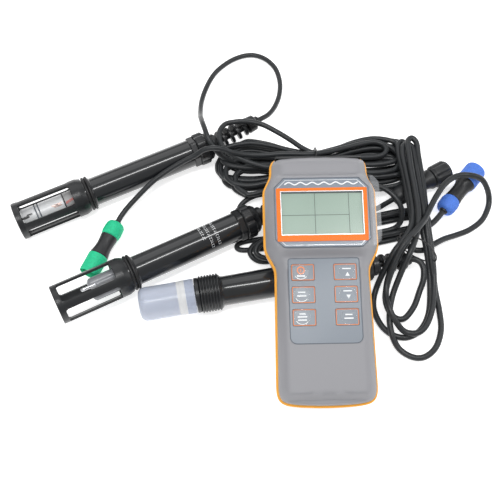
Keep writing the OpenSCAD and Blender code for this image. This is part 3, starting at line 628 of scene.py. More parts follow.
def key(name, x, y):
    top = 30.05
    parts = [plate([round_rect(x - 7.4, y - 5.3, x + 7.4, y + 5.3, 0.9)], 28.9, top, 0.12),
             shade(frame_line(round_rect(x - 7.4, y - 5.3, x + 7.4, y + 5.3, 0.9), round_rect(x - 6.95, y - 4.85, x + 6.95, y + 4.85, 0.7), top - 0.02, top + 0.14, 0.04), 1)]
    right = x > 0
    dx = x + (0.9 if right else -1.3)
    dy = y + (-0.1 if right else 0.1)
    ring = [shade(plate([[(dx + r * math.cos(a * math.pi / 30), dy + r * math.sin(a * math.pi / 30)) for a in range(60)] for r in pair], top, top + h, 0.05), 3)
            for pair, h in (((5.3, 4.85), 0.42 if not right else 0.2),)]
    # white stroke round the lower rim of each left-hand dome: a painted highlight
    glint_arc = [(dx + 4.6 * math.cos(math.radians(a)), dy + 4.6 * math.sin(math.radians(a))) for a in range(212, 329, 9)]
    if not right:
        ring.append(shade(ribbon(glint_arc, 0.45, top + 0.3, top + 0.48), 2))
    parts += ring
    marks = []
    if name == "power":
        marks += [(plate([[(dx + r * math.cos(a * math.pi / 24), dy + 1.2 + r * math.sin(a * math.pi / 24)) for a in range(48)] for r in (2.7, 1.8)], top + 0.3, top + 0.5, 0.04), 1),
                  (ribbon([(dx, dy + 0.2), (dx, dy + 2.2)], 0.7, top + 0.3, top + 0.52), 1),
                  (ribbon([(dx - 2.6, dy - 2.6), (dx + 2.6, dy - 2.6)], 1.1, top + 0.3, top + 0.5), 2)]
    elif name in ("up", "down"):
        s = 1 if name == "up" else -1
        marks.append((plate([[(dx + 0.5 - 1.5, dy - 1.5 - s * 1.2), (dx + 0.5 + 1.5, dy - 1.5 - s * 1.2), (dx + 0.5, dy - 1.5 + s * 1.5)][::s]], top + 0.02, top + 0.3, 0.04), 2))
        marks.append((ribbon([(dx - 2.8, dy + 2.2), (dx + 2.9, dy + 2.2)], 0.8, top + 0.02, top + 0.26), 2))
    else:
        for k, w in ((1.5, 2.4), (-0.9, 3.0)) if name != "mode" else ((2.2, 2.0), (0.3, 3.1), (-1.8, 2.8)):
            marks.append((ribbon([(dx - w, dy + k), (dx + w, dy + k)], 0.95, top + 0.3, top + 0.5), 2))
    parts += [shade(p, i) for p, i in marks]
    piece("key_" + name + "_face", parts, [PAD, KEYLINE, INK_AND_GLINT, DOME], "key_" + name + "_body", METER, ["key_" + name])
    if not right:
        piece("key_" + name + "_dome", [disc(dx, dy, 5.2, top - 0.3, top + 0.15, 0.5)], DOME, "key_" + name + "_body", METER)


for k, (x, y) in KEYS.items():
    key(k, x, y)


def film():
    """Clear sheet over the display, sagging at its edges and lying past the right side of the head."""
    ax = [-34, -32.6, -30, -24, -16, -8, 0, 8, 16, 24, 29, 32.6, 35, 36.8, 38, 38.6]
    rows = [17.2, 18.2, 20.4, 25, 32, 39, 46, 52, 57, 61, 63.6, 65.4, 66.4]
    grid = []
    for i, y in enumerate(rows):
        lo = -34 + 4 * max(0, (22 - y) / 5, (y - 61.6) / 5)
        hi = 38.6 - 5 * max(0, (21 - y) / 4) - 5.4 * max(0, (y - 60) / 6.4) ** 1.5
        grid.append([(max(lo, min(hi, x)) if x in (ax[0], ax[-1]) else max(lo + 0.05 * j, min(hi - 0.05 * (len(ax) - j), x)), y,
                      36.5 + 0.12 * math.sin(x * 0.31 + y * 0.17) - 0.05 * max(0, abs(x) - 33)) for j, x in enumerate(ax)])
    top = [list(r) for r in grid]
    verts = [v for r in top for v in r] + [(x, y, z - 0.15) for r in top for x, y, z in r]
    n, k, off = len(ax), len(rows), len(ax) * len(rows)
    faces = []
    for i in range(k - 1):
        for j in range(n - 1):
            a = i * n + j
            faces.append((a, a + 1, a + n + 1, a + n))
            faces.append((off + a, off + a + n, off + a + n + 1, off + a + 1))
    rim = [j for j in range(n)] + [i * n + n - 1 for i in range(1, k)] + [(k - 1) * n + j for j in range(n - 2, -1, -1)] + [i * n for i in range(k - 2, 0, -1)]
    for a, b in zip(rim, rim[1:] + rim[:1]):
        faces.append((a, off + a, off + b, b))
    return verts, faces


sheet = piece("display_film", [film()], [FILM, FILM_EDGE], "set", METER, ["screen_film"], angle=60)
to_meter = METER.inverted()
for poly in sheet.data.polygons:
    if (to_meter @ poly.center).x > 33.2:
        poly.material_index = 1


# ---------- probes ----------

def sector(r0, r1, a0, a1, z0, z1, n=7):
    """Part of a ring wall between two angles in degrees."""
    ring = []
    for k in range(n + 1):
        a = math.radians(a0 + (a1 - a0) * k / n)
        ring.append((r1 * math.cos(a), r1 * math.sin(a)))
    for k in range(n, -1, -1):
        a = math.radians(a0 + (a1 - a0) * k / n)
        ring.append((r0 * math.cos(a), r0 * math.sin(a)))
    return skin([[(x, y, z) for x, y in ring] for z in (z0, z1)])


def torus(r, z, t):
    return lathe([(r + t * math.cos(a * math.pi / 8), z + t * math.sin(a * math.pi / 8)) for a in range(16)], 84, loop=True)


def guard(name, m, body, node, window):
    """Guard with four windows, window being the angle of one window's middle from the frame's X towards Y."""
    out = [lathe([(12.15, 0.4), (12.5, 0.0), (13.6, 0.0), (14, 0.4), (14, 4.0), (13.8, 4.3), (12.3, 4.3), (12.15, 4.0)], 96, loop=True),
           lathe([(12.15, 43.8), (12.4, 43.3), (13.7, 43.3), (14, 43.7), (14, 48.9), (13.9, 49.4), (12.85, 52.5), (12.6, 53), (12.15, 53)], 96, loop=True)]
    for k in range(4):
        mid = window + 45 + 90 * k
        out.append(sector(12.2, 13.97, mid - 12, mid + 12, 3.9, 43.9))
        for s in (-1, 1):
            for z, up in ((4.2, 1), (43.5, -1)):
                a = mid + s * 12
                out.append(skin([[(r * math.cos(math.radians(a + s * d)), r * math.sin(math.radians(a + s * d)), z + up * h) for d, h in ((-1, -0.5), (7, -0.5), (7, 0.05), (3, 0.5), (0.9, 1.6), (-1, 1.7))] for r in (12.25, 13.9)]))
    piece(name, out, NUT, body, m, [node], angle=35)


def probe_tube(name, m, nodes, end, extra=()):
    prof = [(0.01, 45.8), (11.6, 45.8), (12.0, 46.2), (12.0, 53.6), (11.6, 53.8), (11.6, 58.2), (11.2, 58.9), (10.75, 59.2), (10.6, 60)]
    prof += [(10.6, z) for z in (80, 100, 120)] + [(10.6, end - 0.3), (10.2, end)]
    piece(name, [lathe(prof, 96)] + list(extra), PROBE, "set", m, nodes, angle=30)


def hexed(apothem, soft):
    """Radius change that flattens a round profile into a hexagon."""
    def wave(a, z):
        d = (a + math.pi / 6) % (math.pi / 3) - math.pi / 6
        return min(0.0, apothem / math.cos(d) - soft)
    return wave


def nuts(start, big):
    lock = lathe([(8, start), (11.3, start), (11.7, start + 0.5), (11.7, start + 4.5), (11.3, start + 5), (8, start + 5)], 96, wave=hexed(10.35, 11.7))
    ribs = lathe([(8, start + 5), (big - 0.6, start + 5), (big, start + 5.7), (big, start + 11.6), (big - 0.7, start + 12.6)], 144,
                 wave=lambda a, z: -0.4 * (0.5 + 0.5 * math.cos(12 * a)) ** 6 - 0.9 * (0.5 + 0.5 * math.cos(6 * a)) ** 2)
    dome = lathe([(big - 0.9, start + 12.4), (10.8, start + 12.9), (10.3, start + 15.2), (9.1, start + 16.6), (7.4, start + 17), (3, start + 17)], 96)
    return [lock, ribs, dome]


def relief(length, r_out, pitch=6.2):
    """Open coil strain relief: a flat ribbon wound round the cable, then a closed sleeve."""
    turns = (length - 11) / pitch
    steps = int(turns * 26)
    rings = []
    for k in range(steps + 1):
        f = k / steps
        a = 2 * math.pi * turns * f
        z = 1.6 + f * (length - 11)
        ro = r_out - 1.1 * f
        ri, hw = 2.4, 1.35
        sec = [(ri, -hw), (ro - 0.5, -hw), (ro, -hw + 0.5), (ro, hw - 0.5), (ro - 0.5, hw), (ri, hw)]
        rings.append([(r * math.cos(a), r * math.sin(a), z + h) for r, h in sec])
    collar = lathe([(2.2, 0), (r_out - 0.6, 0), (r_out - 0.1, 0.5), (r_out - 0.1, 2.6), (r_out - 0.7, 3.1), (2.2, 3.1)], 48)
    neck = lathe([(2.2, length - 10.4), (r_out - 1.7, length - 10.4), (r_out - 1.2, length - 9.9), (r_out - 1.5, length - 4), (4.2, length - 2.4), (3.6, length - 0.3), (3.2, length), (1.5, length)], 48)
    core = lathe([(2.45, 0), (2.45, length - 2)], 24)
    return [skin(rings), collar, neck, core]


UP = 90
guard("oxygen_guard", DO, "do_guard_body", "do_guard", UP + 14)
probe_tube("oxygen_tube", DO, ["do_tube"], 139)
piece("oxygen_rings", [torus(12.0, 54.7, 1.1), torus(12.0, 57.0, 1.1)], RUBBER, "set", DO, ["do_orings"])
# the two thin dark rings at z 15.1 and 17.5 are painted shade in the cap's grooves
piece("oxygen_cap", [lathe([(6.0, 4.6), (6.3, 4.1), (7.0, 4.5), (7.3, 5.2), (7.3, 14.5), (6.7, 14.7), (6.7, 15.5), (7.3, 15.7), (7.3, 16.9), (6.7, 17.1), (6.7, 17.9), (7.3, 18.1), (7.3, 35.9), (7.0, 36.2), (6.0, 36.2)], 72),
                     shade(torus(6.85, 15.1, 0.32), 1), shade(torus(6.85, 17.5, 0.32), 1)], [FOIL, OUTLINE_AND_SHADE], "do_membrane", DO, ["do_membrane_cap"])
grey_part = [lathe([(5.9, 5.6), (5.9, 36.5), (7.1, 36.6), (7.5, 37.2), (7.5, 45.6), (8.5, 45.8)], 64), shade(torus(7.15, 36.7, 0.4), 3)]
marks = []
for k in range(9):
    marks.append(shade(sector(7.45, 7.6, 116 - 1.2 * k, 130 - 1.2 * k, 37.6 + 0.86 * k, 38.1 + 0.86 * k, 3), 1))
marks += [shade(sector(7.28, 7.4, 108 + 5 * (k % 4), 112 + 5 * (k % 4), 26.5 + 0.7 * k, 31 + 0.5 * k, 3), 2) for k in range(9)]
piece("oxygen_core", grey_part + marks, [CORE, RED, COPPER, RUBBER], "set", DO, ["do_core"])
piece("oxygen_tab", [sector(7.2, 8.0, 112, 124, 3.2, 9.4, 3), sector(7.2, 8.0, 106, 113, 8.0, 12.0, 3)], NUT, "set", DO)

guard("conductivity_guard", EC, "ec_guard_body", "ec_guard", UP - 8)
probe_tube("conductivity_tube", EC, ["ec_tube"], 139)
piece("conductivity_rings", [torus(12.0, 54.7, 1.1), torus(12.0, 57.0, 1.1)], RUBBER, "set", EC, ["ec_orings"])


def prong(x, r, tip, end, flat):
    rings = []
    for rr, z in [(0.02, tip)] + [(r * math.sin(math.radians(t)), tip + r * 0.8 * (1 - math.cos(math.radians(t)))) for t in (15, 30, 45, 60, 75, 90)] + [(r, end)]:
        ring = []
        for k in range(40):
            a = 2 * math.pi * k / 40
            px, py = rr * math.cos(a), rr * math.sin(a)
            lim = flat * rr / r
            px = max(px, -lim) if x > 0 else min(px, lim)
            ring.append((x + px, py, z))
        rings.append(ring)
    return skin(rings)


tips = [(prong(4.6, 4.2, 24.3, 46.5, 3.4)), (prong(-5.2, 3.6, 24.3, 46.5, 3.0))]
piece("conductivity_cell", [tips[0] + (0,), tips[1] + (0,), lathe([(0.01, 44), (8.4, 44), (8.4, 47)], 64) + (0,)], TIP, "set", EC, ["ec_cell"])
piece("temperature_pin", [([(a, b + 5.7, c) for a, b, c in p[0]], p[1], i) for p, i in
                          ((lathe([(0.02, 18.5), (0.7, 18.6), (1.1, 19.2), (1.2, 20), (1.2, 30)], 24), 0), (lathe([(1.35, 29.5), (1.35, 46)], 24), 1))],
      [METAL, TIP], "set", EC, ["ec_temp_pin"])
dash = []
for z, start, count in ((110.4, 46, 8), (114.8, 44, 13), (120.0, 42, 13)):
    for k in range(count):
        a = start + 9 * k
        dash.append(sector(10.58, 10.66, a, a + 4.6, z, z + 0.35, 2))
        dash.append(sector(10.58, 10.66, a + (0 if k % 3 else 3.4), a + (1.2 if k % 3 else 4.6), z + 0.3, z + 1.9, 2))
        if k % 4 != 2:
            dash.append(sector(10.58, 10.66, a, a + (4.6 if k % 3 else 2.4), z + 1.6, z + 1.95, 2))
piece("tube_marks", dash, INK_AND_GLINT, "set", EC)

do_relief = DO @ Matrix.Translation((0, 0, 156.5)) @ Matrix.Rotation(math.radians(7), 4, "Y")
piece("oxygen_relief", relief(43, 7.6), NUT, "set", do_relief, ["do_strain_relief"])
piece("conductivity_relief", relief(39, 7.2), NUT, "set", EC @ Matrix.Translation((0, 0, 156)), ["ec_strain_relief"])
piece("electrode_relief", relief(29, 7.6, 5.6), NUT, "set", PH @ Matrix.Translation((0, 0, 167)), ["ph_strain_relief"])


def placed(parts, m, base):
    k = base.inverted() @ m
    return [([tuple(k @ Vector(v)) for v in p[0]], p[1]) for p in parts]


piece("cable_glands", nuts(139, 12.5) + placed(nuts(139, 12.5), EC, DO) + placed(nuts(150, 12.4), PH, DO),
      NUT, "set", DO, ["lock_nuts", "gland_nuts"], angle=30)

# electrode with its storage cap
cap = lathe([(0.02, 0.0), (7.6, 0.0), (9.6, 0.5), (11.0, 1.7), (11.7, 3.4), (11.9, 5.2), (11.9, 29.6), (12.1, 29.9), (12.15, 30.4), (12.15, 38.7), (11.9, 39.3), (10.5, 39.3), (10.4, 38.9), (10.4, 4.2), (9.2, 2.6), (0.02, 2.3)], 96)
piece("storage_cap", [cap], MILKY, "ph_cap_body", PH, ["ph_cap"])
piece("storage_cap_band", [lathe([(11.2, 27.2), (11.93, 27.3), (11.95, 29.4), (12.16, 29.8), (12.2, 30.4), (12.2, 32.8), (11.2, 32.8)], 96, loop=True),
                           shade(lathe([(11.2, 33.0), (12.18, 33.0), (12.18, 38.5), (11.2, 38.5)], 96, loop=True), 1)], [MILKY2, MILKY3],
      "ph_cap_body", PH)
turn_wave = [(7.3, 30), (7.3, 39.5), (12.0, 39.6), (12.4, 40.0), (12.4, 42.2), (12.0, 42.6), (11.8, 43.0)]
for k in range(7):
    z = 42.9 + 2.05 * k
    turn_wave += [(12.2, z), (12.9, z + 0.25), (13.15, z + 0.55), (13.15, z + 1.15), (12.9, z + 1.45), (12.2, z + 1.7)]
turn_wave += [(11.8, 57.6), (11.0, 57.7)]
stem = [(9, 57.5), (11.8, 57.5), (11.2, 58.2), (10.6, 59.4), (10.6, 80), (10.6, 100), (10.6, 120), (10.6, 149.7), (10.2, 150)]
piece("electrode_body", [lathe([(0.02, 30)] + turn_wave, 96), shade(lathe(stem, 96), 1)], [NUT, PROBE], "set", PH, ["ph_body"], angle=28)
piece("electrode_seal", [torus(7.6, 33.5, 1.0)], RUBBER, "set", PH, ["ph_seal"])
piece("electrode_bulb", [lathe([(4.2 * math.sin(math.radians(t)) + 0.01, 13 - 4.2 * math.cos(math.radians(t))) for t in range(0, 91, 15)] + [(4.2, 31)], 40)],
      BULB, "set", PH, ["ph_bulb"])


# ---------- connectors ----------

def knurl(depth, count=40):
    return lambda a, z: depth * (0.5 + 0.5 * math.cos(count * a + 2.2 * z)) * (0.5 + 0.5 * math.cos(count * a - 2.2 * z)) - depth


def plug(tag, m, length, r, colour, body_mat, ring_body, nodes, ring_node, lobes=0):
    nut = lathe([(2.2, 0.0), (4.6, 0.0), (6.0, 0.7), (6.9, 2.4), (7.2, 4.8), (7.2, 8.6), (6.9, 11.0), (6.4, 12.0), (4, 12.2)], 160, wave=knurl(0.22) if colour != body_mat else None)
    waist = lathe([(4, 11.6), (6.3, 12.2), (6.4, 13.2), (6.0, 16.2), (5.8, length - 24), (6.2, length - 20), (r - 0.55, length - 17), (r - 0.5, length - 15.6), (5.6, length - 15.5), (5.6, length - 9), (0.02, length - 8.6)], 72)
    tail = lathe([(1.8, -1.4), (2.9, -1.2), (3.3, -0.2), (3.3, 0.8)], 32)
    piece(tag + "_plug_body", [waist, tail], body_mat, "set", m, [nodes[0]])
    if len(nodes) > 1:
        piece(tag + "_plug_nut", [nut], colour, "set", m, [nodes[1]], angle=60)
    else:
        piece(tag + "_plug_nut", [nut], colour, "set", m)
    z0 = length - (14.6 if lobes else 15.4)
    if lobes:
        shape = lathe([(6.2, z0), (r - 0.9, z0), (r - 0.5, z0 + 0.6), (r - 0.5, z0 + 1.4), (r + 0.3, z0 + 2.0), (r + 0.5, z0 + 2.8), (r + 0.5, z0 + 12.4), (r + 0.2, z0 + 13.2), (r - 0.6, z0 + 13.4),
                       (r - 0.7, z0 + 14.6), (6.7, z0 + 14.6), (6.6, z0 + 7.2), (6.2, z0 + 7)], 144, loop=True,
                      wave=lambda a, z: (-0.9 * (0.5 + 0.5 * math.cos(lobes * a)) ** 5 if z0 + 1.6 < z < z0 + 13.3 else 0.0))
    else:
        shape = lathe([(6.2, z0), (r - 0.5, z0), (r - 0.1, z0 + 0.5), (r, z0 + 1.4), (r, z0 + 13.2), (r - 0.2, z0 + 14.6), (r - 0.6, z0 + 15.4), (6.8, z0 + 15.4), (6.6, z0 + 15.0), (6.6, z0 + 8), (6.2, z0 + 7.8)], 160, loop=True,
                      wave=lambda a, z: knurl(0.22)(a, z) if z0 + 1 < z < z0 + 14 else 0.0)
    piece(tag + "_plug_ring", [shape], colour, ring_body, m, [ring_node], angle=60)


plug("green", GREEN, 44.5, 7.4, GREENP, PLUGBLACK, "green_coupling", ["green_body", "green_nut"], "green_ring")
plug("blue", BLUE, 46.5, 8.2, BLUEP, PLUGBLACK, "blue_coupling", ["blue_body", "blue_nut"], "blue_ring")
plug("black", BLACK, 49, 8.3, PLUGBLACK, PLUGBLACK, "black_coupling", ["black_body"], "black_ring", lobes=6)

# ---------- cords ----------


def cord(name, route, d, nodes, per=6):
    pts = [SET @ p for p in smooth(route, per)]
    cu = bpy.data.curves.new(name, "CURVE")
    cu.dimensions = "3D"
    cu.bevel_depth = d / 2 * MM
    cu.bevel_resolution = 4
    cu.use_fill_caps = True
    s = cu.splines.new("POLY")
    s.points.add(len(pts) - 1)
    for i, p in enumerate(pts):
        s.points[i].co = (*p, 1)
    s.use_smooth = True
    cu.materials.append(CORD)
    o = bpy.data.objects.new(name, cu)
    scene.collection.objects.link(o)
    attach(o, "set")
    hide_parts(*nodes)
    return o


# leads as in part.scad, in its own millimetres
DO_LEAD = [
    (8.4, 113.6, 14), (12.6, 116.6, 13), (17.4, 122, 10.4), (22.4, 131.6, 6.8), (26.6, 145, 3.6), (28, 159.4, 2.1), (25.4, 173, 2.1), (19.6, 182.2, 2.1),
    (12, 187.8, 2.1), (3.4, 189.6, 2.1), (-6.4, 187.2, 2.1), (-16.2, 181.2, 2.1), (-26, 171, 2.1), (-32.6, 157.6, 2.1), (-36.8, 141, 4),
    (-37.2, 122, 12), (-35.6, 108, 24), (-33, 96, 30.5), (-29, 85, 28), (-21, 77.5, 20), (-9, 74.5, 12)]

# turns of the long thin hank: upper and lower strand and end of the left lobe, then of the right lobe
DO_TURNS = [
    (89, 67, -24, 95, 73, 120), (80, 57, -19, 88, 62, 124), (74, 50, -12, 81, 54, 121), (90, 62, -23, 92, 68, 125), (92, 70, -16, 84, 58, 118),
    (97, 75, -12, 97, 76, 123), (82, 60, -21, 90, 65, 126), (73, 47, -10, 78, 51, 119), (78, 54, -17, 86, 60, 122), (91.5, 69, -20, 94, 70, 117)]


def ease(f):
    return f * f * (3 - 2 * f)


def do_turn(k):
    """One counter-clockwise turn from the tie on its lower side, turn k lying higher than the one before."""
    ul, ll, xl, ur, lr, xr = DO_TURNS[k]
    z = 2.1 + 1.4 * k
    tu, tl = 73 + (ul - 68.5) * 0.35, 73 + (ll - 68.5) * 0.35
    right = [(51 + 15.5 * j, tl + (lr - tl) * ease(j / 3), z) for j in range(4)]
    end_r = [(xr - 5, lr + 2.6, z), (xr - 0.6, lr + 0.3 * (ur - lr), z), (xr, (ur + lr) / 2, z), (xr - 0.8, ur - 0.3 * (ur - lr), z), (xr - 5.4, ur - 2.4, z)]
    back = [(51 + 15.5 * j, tu + (ur - tu) * ease(j / 3), z) for j in (3, 2, 1, 0)]
    left = [(51 - 16.5 * j, tu + (ul - tu) * ease(j / 3), z) for j in (1, 2, 3)]
    end_l = [(xl + 6, ul - 2.8, z), (xl + 0.8, ul - 0.3 * (ul - ll), z), (xl, (ul + ll) / 2, z), (xl + 1, ll + 0.28 * (ul - ll), z), (xl + 6.4, ll + 2.2, z)]
    return right + end_r + back + left + end_l + [(51 - 16.5 * j, tl + (ll - tl) * ease(j / 3), z) for j in (3, 2, 1)]


def do_route():
    pts = list(DO_LEAD) + [(6, 73, 4), (26, 72, 2)]
    for k in range(10):
        pts += do_turn(k)
    # the last turn lies over the strain relief instead of in the left lobe
    pts += [
        (46, 71, 16), (63, 66, 16.4), (80, 63, 16.4), (97, 62, 16), (111, 65, 15), (116, 72, 14.6), (115, 80, 14.6), (108, 87, 15),
        (96, 90, 15.6), (80, 87.6, 16.6), (64, 82, 18), (51.4, 78.4, 19.4), (42, 82.6, 19.8), (32.6, 90, 20.6), (22, 97, 22), (11, 102.4, 24), (0, 104.4, 25.2),
        (-9, 104, 25.6), (-17.4, 101.4, 26), (-21.6, 93.6, 26.8), (-20.6, 83.4, 28), (-15.4, 76, 26.4), (-4, 71, 23), (8, 67.4, 20.6), (19, 66, 19), (33, 68, 18)]
    pts += [
        (48, 72, 18.6), (63, 74, 18.4), (80, 75, 17.4), (94, 75.4, 17), (102.6, 77, 17), (106.4, 81.6, 17), (103.6, 87, 17.2), (96, 88.6, 17.6),
        (84, 86, 18), (65, 80, 19.6), (48, 75.4, 22.6), (28, 76, 22.4), (10, 74.6, 23), (-3, 74, 25.4), (-12, 74, 28.6)]
    pts += [
        (-19, 74.6, 32.2), (-26, 74.8, 33.8), (-33, 74.4, 32.2), (-40, 72.5, 27.5), (-54, 67, 23), (-71, 57, 18),
        (-88, 42, 11), (-95.3, 33.4, 8.2), (-98.6, 26.3, 7.9)]
    return pts


PH_LEAD = [(115.4, -9.7, 13.2), (119.2, -9.9, 12.8), (122.8, -12.4, 12.4), (124.4, -17.4, 11.2), (123.6, -24.6, 9), (120.6, -32, 6)]


def ph_route():
    """Long turns of the thick lead, then the loop over its own connector."""
    pts = list(PH_LEAD)
    # inner loop, then the left bend at the top
    pts += [
        (115.6, -43, 4.8), (108, -51.6, 4.6), (101.4, -51, 4.6), (97, -44, 4.6), (96, -34, 6), (99, -23, 14), (104, -13, 23.4), (110.6, -3.4, 24.6),
        (115.8, 6, 23), (118, 20, 20.8), (117.4, 40, 20.4), (116.4, 58, 20.4), (115, 72, 20.4), (114.8, 79.6, 20.4), (115.6, 84.4, 20.3), (118.4, 87, 20.2), (121.2, 84.4, 19.9), (122, 79.4, 19.6),
        (122, 71, 19.4), (122, 58, 19.4), (122.8, 42, 19.4), (124, 25, 19.4), (125.6, 9, 18.4), (127.6, -5, 14), (129, -18, 8)]
    # left loop
    pts += [
        (128.4, -36, 2.9), (125, -50, 2.5), (118, -60.4, 2.4), (109, -65, 2.4), (100, -63.6, 2.4), (92.6, -57.4, 2.4), (88, -47, 2.6),
        (87.6, -37, 3.0), (91, -26.6, 5.4), (95.6, -18.4, 16), (101, -10.4, 27), (108, -2, 28.4), (114, 7, 27.4),
        (118.4, 21, 24.8), (118.6, 40, 24.4), (117.6, 58, 24.4), (116.8, 70, 24.4), (117.2, 76.4, 24.4), (118.2, 80.2, 24.3), (121.2, 82.2, 24.2), (124.2, 80, 23.8), (125.2, 75.6, 23.6),
        (125.4, 69, 23.4), (125.8, 55, 23.4), (126.2, 40, 23.4), (127, 24, 22.6), (128, 8, 20), (129.6, -6, 15), (131.4, -20, 9), (132.6, -32, 4.4)]
    # outermost loop, then the right bend at the top
    pts += [
        (133.8, -46, 2.9), (133.2, -60, 2.5), (128, -72.6, 2.4), (119.4, -79.4, 2.4), (110.5, -79.2, 2.4), (102, -73, 2.8), (97.4, -63, 6.2),
        (96.8, -50.4, 9), (100.4, -36, 9.4), (106, -23, 17), (111, -13.4, 26), (115.6, -4, 28), (119.6, 7, 27.2),
        (121.6, 22, 28), (121.4, 42, 28), (120.6, 58, 28), (120.8, 72, 27.4), (120.9, 79.4, 26.8), (121.9, 84, 26.2), (124.8, 86.4, 25.6), (127.6, 84, 25), (128.6, 79.4, 24.2),
        (128.6, 75, 23.4), (129.2, 64, 22), (129.8, 49, 21), (129.6, 34, 20.4), (129.6, 20, 19.4), (130.4, 6, 17), (131.4, -7, 13), (131.8, -20, 9)]
    # second loop, then over the blue connector and back
    pts += [
        (130.4, -34.6, 6.6), (127.4, -47, 6.4), (121.8, -58.4, 6.4), (114.6, -63.4, 6.4), (106, -61.6, 6.4), (99.4, -54, 11), (95.8, -44.6, 13),
        (95.4, -35, 11.4), (97.4, -25, 15), (101, -17, 24), (106, -8.6, 31), (112.6, -1, 32.4), (119.4, 6.6, 31.6), (126, 15.6, 27), (131.6, 26, 23.6),
        (138, 36.8, 22.6), (146, 47.6, 22), (156, 54.6, 21.4), (166, 55, 21.4), (175, 53.2, 18.4), (180.4, 48.8, 12), (183, 43.6, 5.2),
        (181.6, 36.6, 2.6), (175.4, 26.6, 2.3), (165.2, 19, 2.4), (155, 14.6, 3), (144, 9.8, 6), (134.6, 4, 8.6), (126, -1.4, 10.6),
        (117.6, -0.6, 11.6), (113.8, 6, 11.6)]
    # last bend to the connector
    pts += [(116.4, 12.8, 11.4), (122.8, 15.6, 11.2), (130, 17.4, 10.6), (136, 21.4, 9.2), (141, 26.4, 8.6), (145.8, 32.2, 8.6)]
    return pts


EC_LEAD = [(40.3, 43.7, 11.9), (47.5, 46.6, 9), (56, 45.5, 6.5), (62, 38, 5.5), (63, 26, 5)]

# left ends of the short hank: two low loops, one wide bend beyond the gland, and one low loop on top
EC_ENDS = [
    [(38, 17.4, 2.1), (21, 15.4, 2.2), (7, 14, 2.2), (-3.4, 12.2, 2.2), (-8.6, 10.2, 2.2), (-9.4, 7, 2.2), (-5, 5.2, 2.2), (6, 5.8, 2.2),
     (18, 6.6, 2.1)],
    [(38, 20, 2.4), (25, 17.4, 5.6), (13, 13, 6.2), (4, 8.4, 5.8), (0, 2.6, 4.6), (3.4, -2.6, 2.8), (11, -4.6, 2.1), (25, -2.4, 2.1)],
    [(46, 23.6, 2.6), (36, 31, 2.2), (28.4, 40, 2.2), (21, 47.4, 3.6), (12.4, 50.2, 6), (4, 48.6, 6.4), (-3.2, 44.6, 5.8), (-7.4, 39.4, 4),
     (-4.4, 34.8, 2.4), (5, 35.6, 2.2), (15, 32.6, 2.2), (21.6, 25.4, 3.4), (20.6, 17, 9.6), (13.6, 10.4, 10.2), (6.8, 5, 9), (4.4, 0.4, 7),
     (7.6, -3, 6.2), (16, -3.4, 6), (30, 0.6, 5.6)],
    [(38, 18.6, 6), (23, 13, 9.8), (12, 8, 13.4), (5.6, 3.4, 13), (4.4, -1.6, 11.6), (9, -4.8, 10.2), (17, -5.2, 9.6), (28, -3, 7.6)]]


def ec_turn(c, r, end):
    """One turn of the short hank between the probes, from below the head round its right end and back by its left end."""
    z = 2.1 + 3.4 * r
    h = 4.4 + 3.4 * c
    ax = Vector((math.cos(0.19), math.sin(0.19), 0))
    sd = Vector((-ax.y, ax.x, 0))
    mid = Vector((62, 14.5, 0))

    def at(s, w, k=z):
        q = mid + ax * s + sd * w
        return (q.x, q.y, k)
    return [
        at(10, -h), at(40, -h), at(60, -h * 0.9), at(66 + 3 * c, -h * 0.5), at(68 + 3.4 * c, 0), at(66 + 3 * c, h * 0.6), at(58, h),
        at(36, h), at(8, h)] + EC_ENDS[end] + [at(-16, -h)]


def ec_route():
    pts = list(EC_LEAD[:4])
    for end, (c, r) in enumerate(((0, 0), (1, 0), (2, 0), (1, 1))):
        pts += ec_turn(c, r, end)
    pts += ec_turn(0, 1, 0)[:2] + [(110.6, 20.6, 8.6), (113, 26, 14.6), (110.6, 33, 20), (104, 41, 22.4), (95, 46.6, 22.4), (84, 49, 21),
                                (73, 46, 20), (69, 38, 19), (74, 31, 18), (84, 29.6, 16), (94, 32.4, 12.4), (102, 38, 9.6), (110.2, 43.1, 9.2)]
    return pts


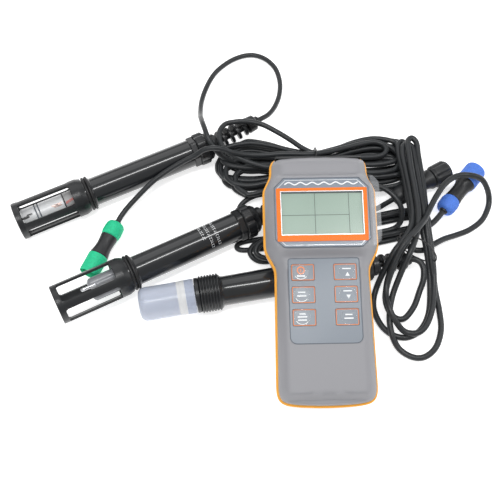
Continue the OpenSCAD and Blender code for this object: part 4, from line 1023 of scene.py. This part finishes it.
def wire(name, pts, d, mat, closed=False):
    """Bent wire or tie through pts, in the set's millimetres."""
    cu = bpy.data.curves.new(name, "CURVE")
    cu.dimensions = "3D"
    cu.bevel_depth = d / 2 * MM
    cu.bevel_resolution = 3
    cu.use_fill_caps = True
    s = cu.splines.new("POLY")
    fine = [SET @ q for q in smooth(pts, 6, closed)]
    s.points.add(len(fine) - 1)
    for i, q in enumerate(fine):
        s.points[i].co = (*q, 1)
    s.use_cyclic_u = closed
    cu.materials.append(mat)
    o = bpy.data.objects.new(name, cu)
    scene.collection.objects.link(o)
    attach(o, "set")
    return o


wire("long_hank_tie", [(51.4, 85.4, 14), (51.4, 86, 6), (51.4, 80, 1.4), (51.4, 68, 1.4), (51.4, 62.6, 6), (51.4, 63.2, 14), (51.4, 68, 21),
     (51.4, 75.4, 25.4), (51.4, 81.6, 21.4)], 1.2, TIE, True)
wire("thick_hank_tie", [(109.6, 1.6, 24), (112.4, -1, 32), (118, -4.6, 35.4), (125, -8.4, 32), (131.6, -11.4, 22), (132.8, -11, 11), (126, -7.6, 6.6), (116, -3, 9), (110.4, 0.6, 14)],
     1.1, TIE, True)
wire("thick_hank_tie_end_a", [(112, -0.6, 31), (109.6, 1, 27), (106.6, 3, 25), (105, 1.4, 24), (106.4, -2.4, 23.4), (108.4, -4.6, 23)], 0.9, TIE)
wire("thick_hank_tie_end_b", [(112, -0.6, 31), (110.4, 2.6, 28), (108.4, 4.6, 26.6), (106.8, 3, 26), (108, 0.8, 25.6), (110.2, 0.4, 26.4)], 0.9, TIE)

do_cord = cord("do_cable", do_route(), 4.0, ["do_lead", "do_hank", "do_tail"])
ph_cord = cord("ph_cable", ph_route(), 4.4, ["ph_lead", "ph_hank", "ph_coil", "ph_loop", "ph_tail"])
ec_cord = cord("ec_cable", ec_route(), 4.0, ["ec_lead", "ec_hank", "ec_tail"])

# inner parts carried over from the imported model, given their materials
for node, mat in (("circuit_board", BOARD), ("dome_switches", METAL), ("battery_cells", JACKET), ("case_screws", METAL)):
    o = frame["nodes"][node]
    o.data.materials.clear()
    o.data.materials.append(mat)
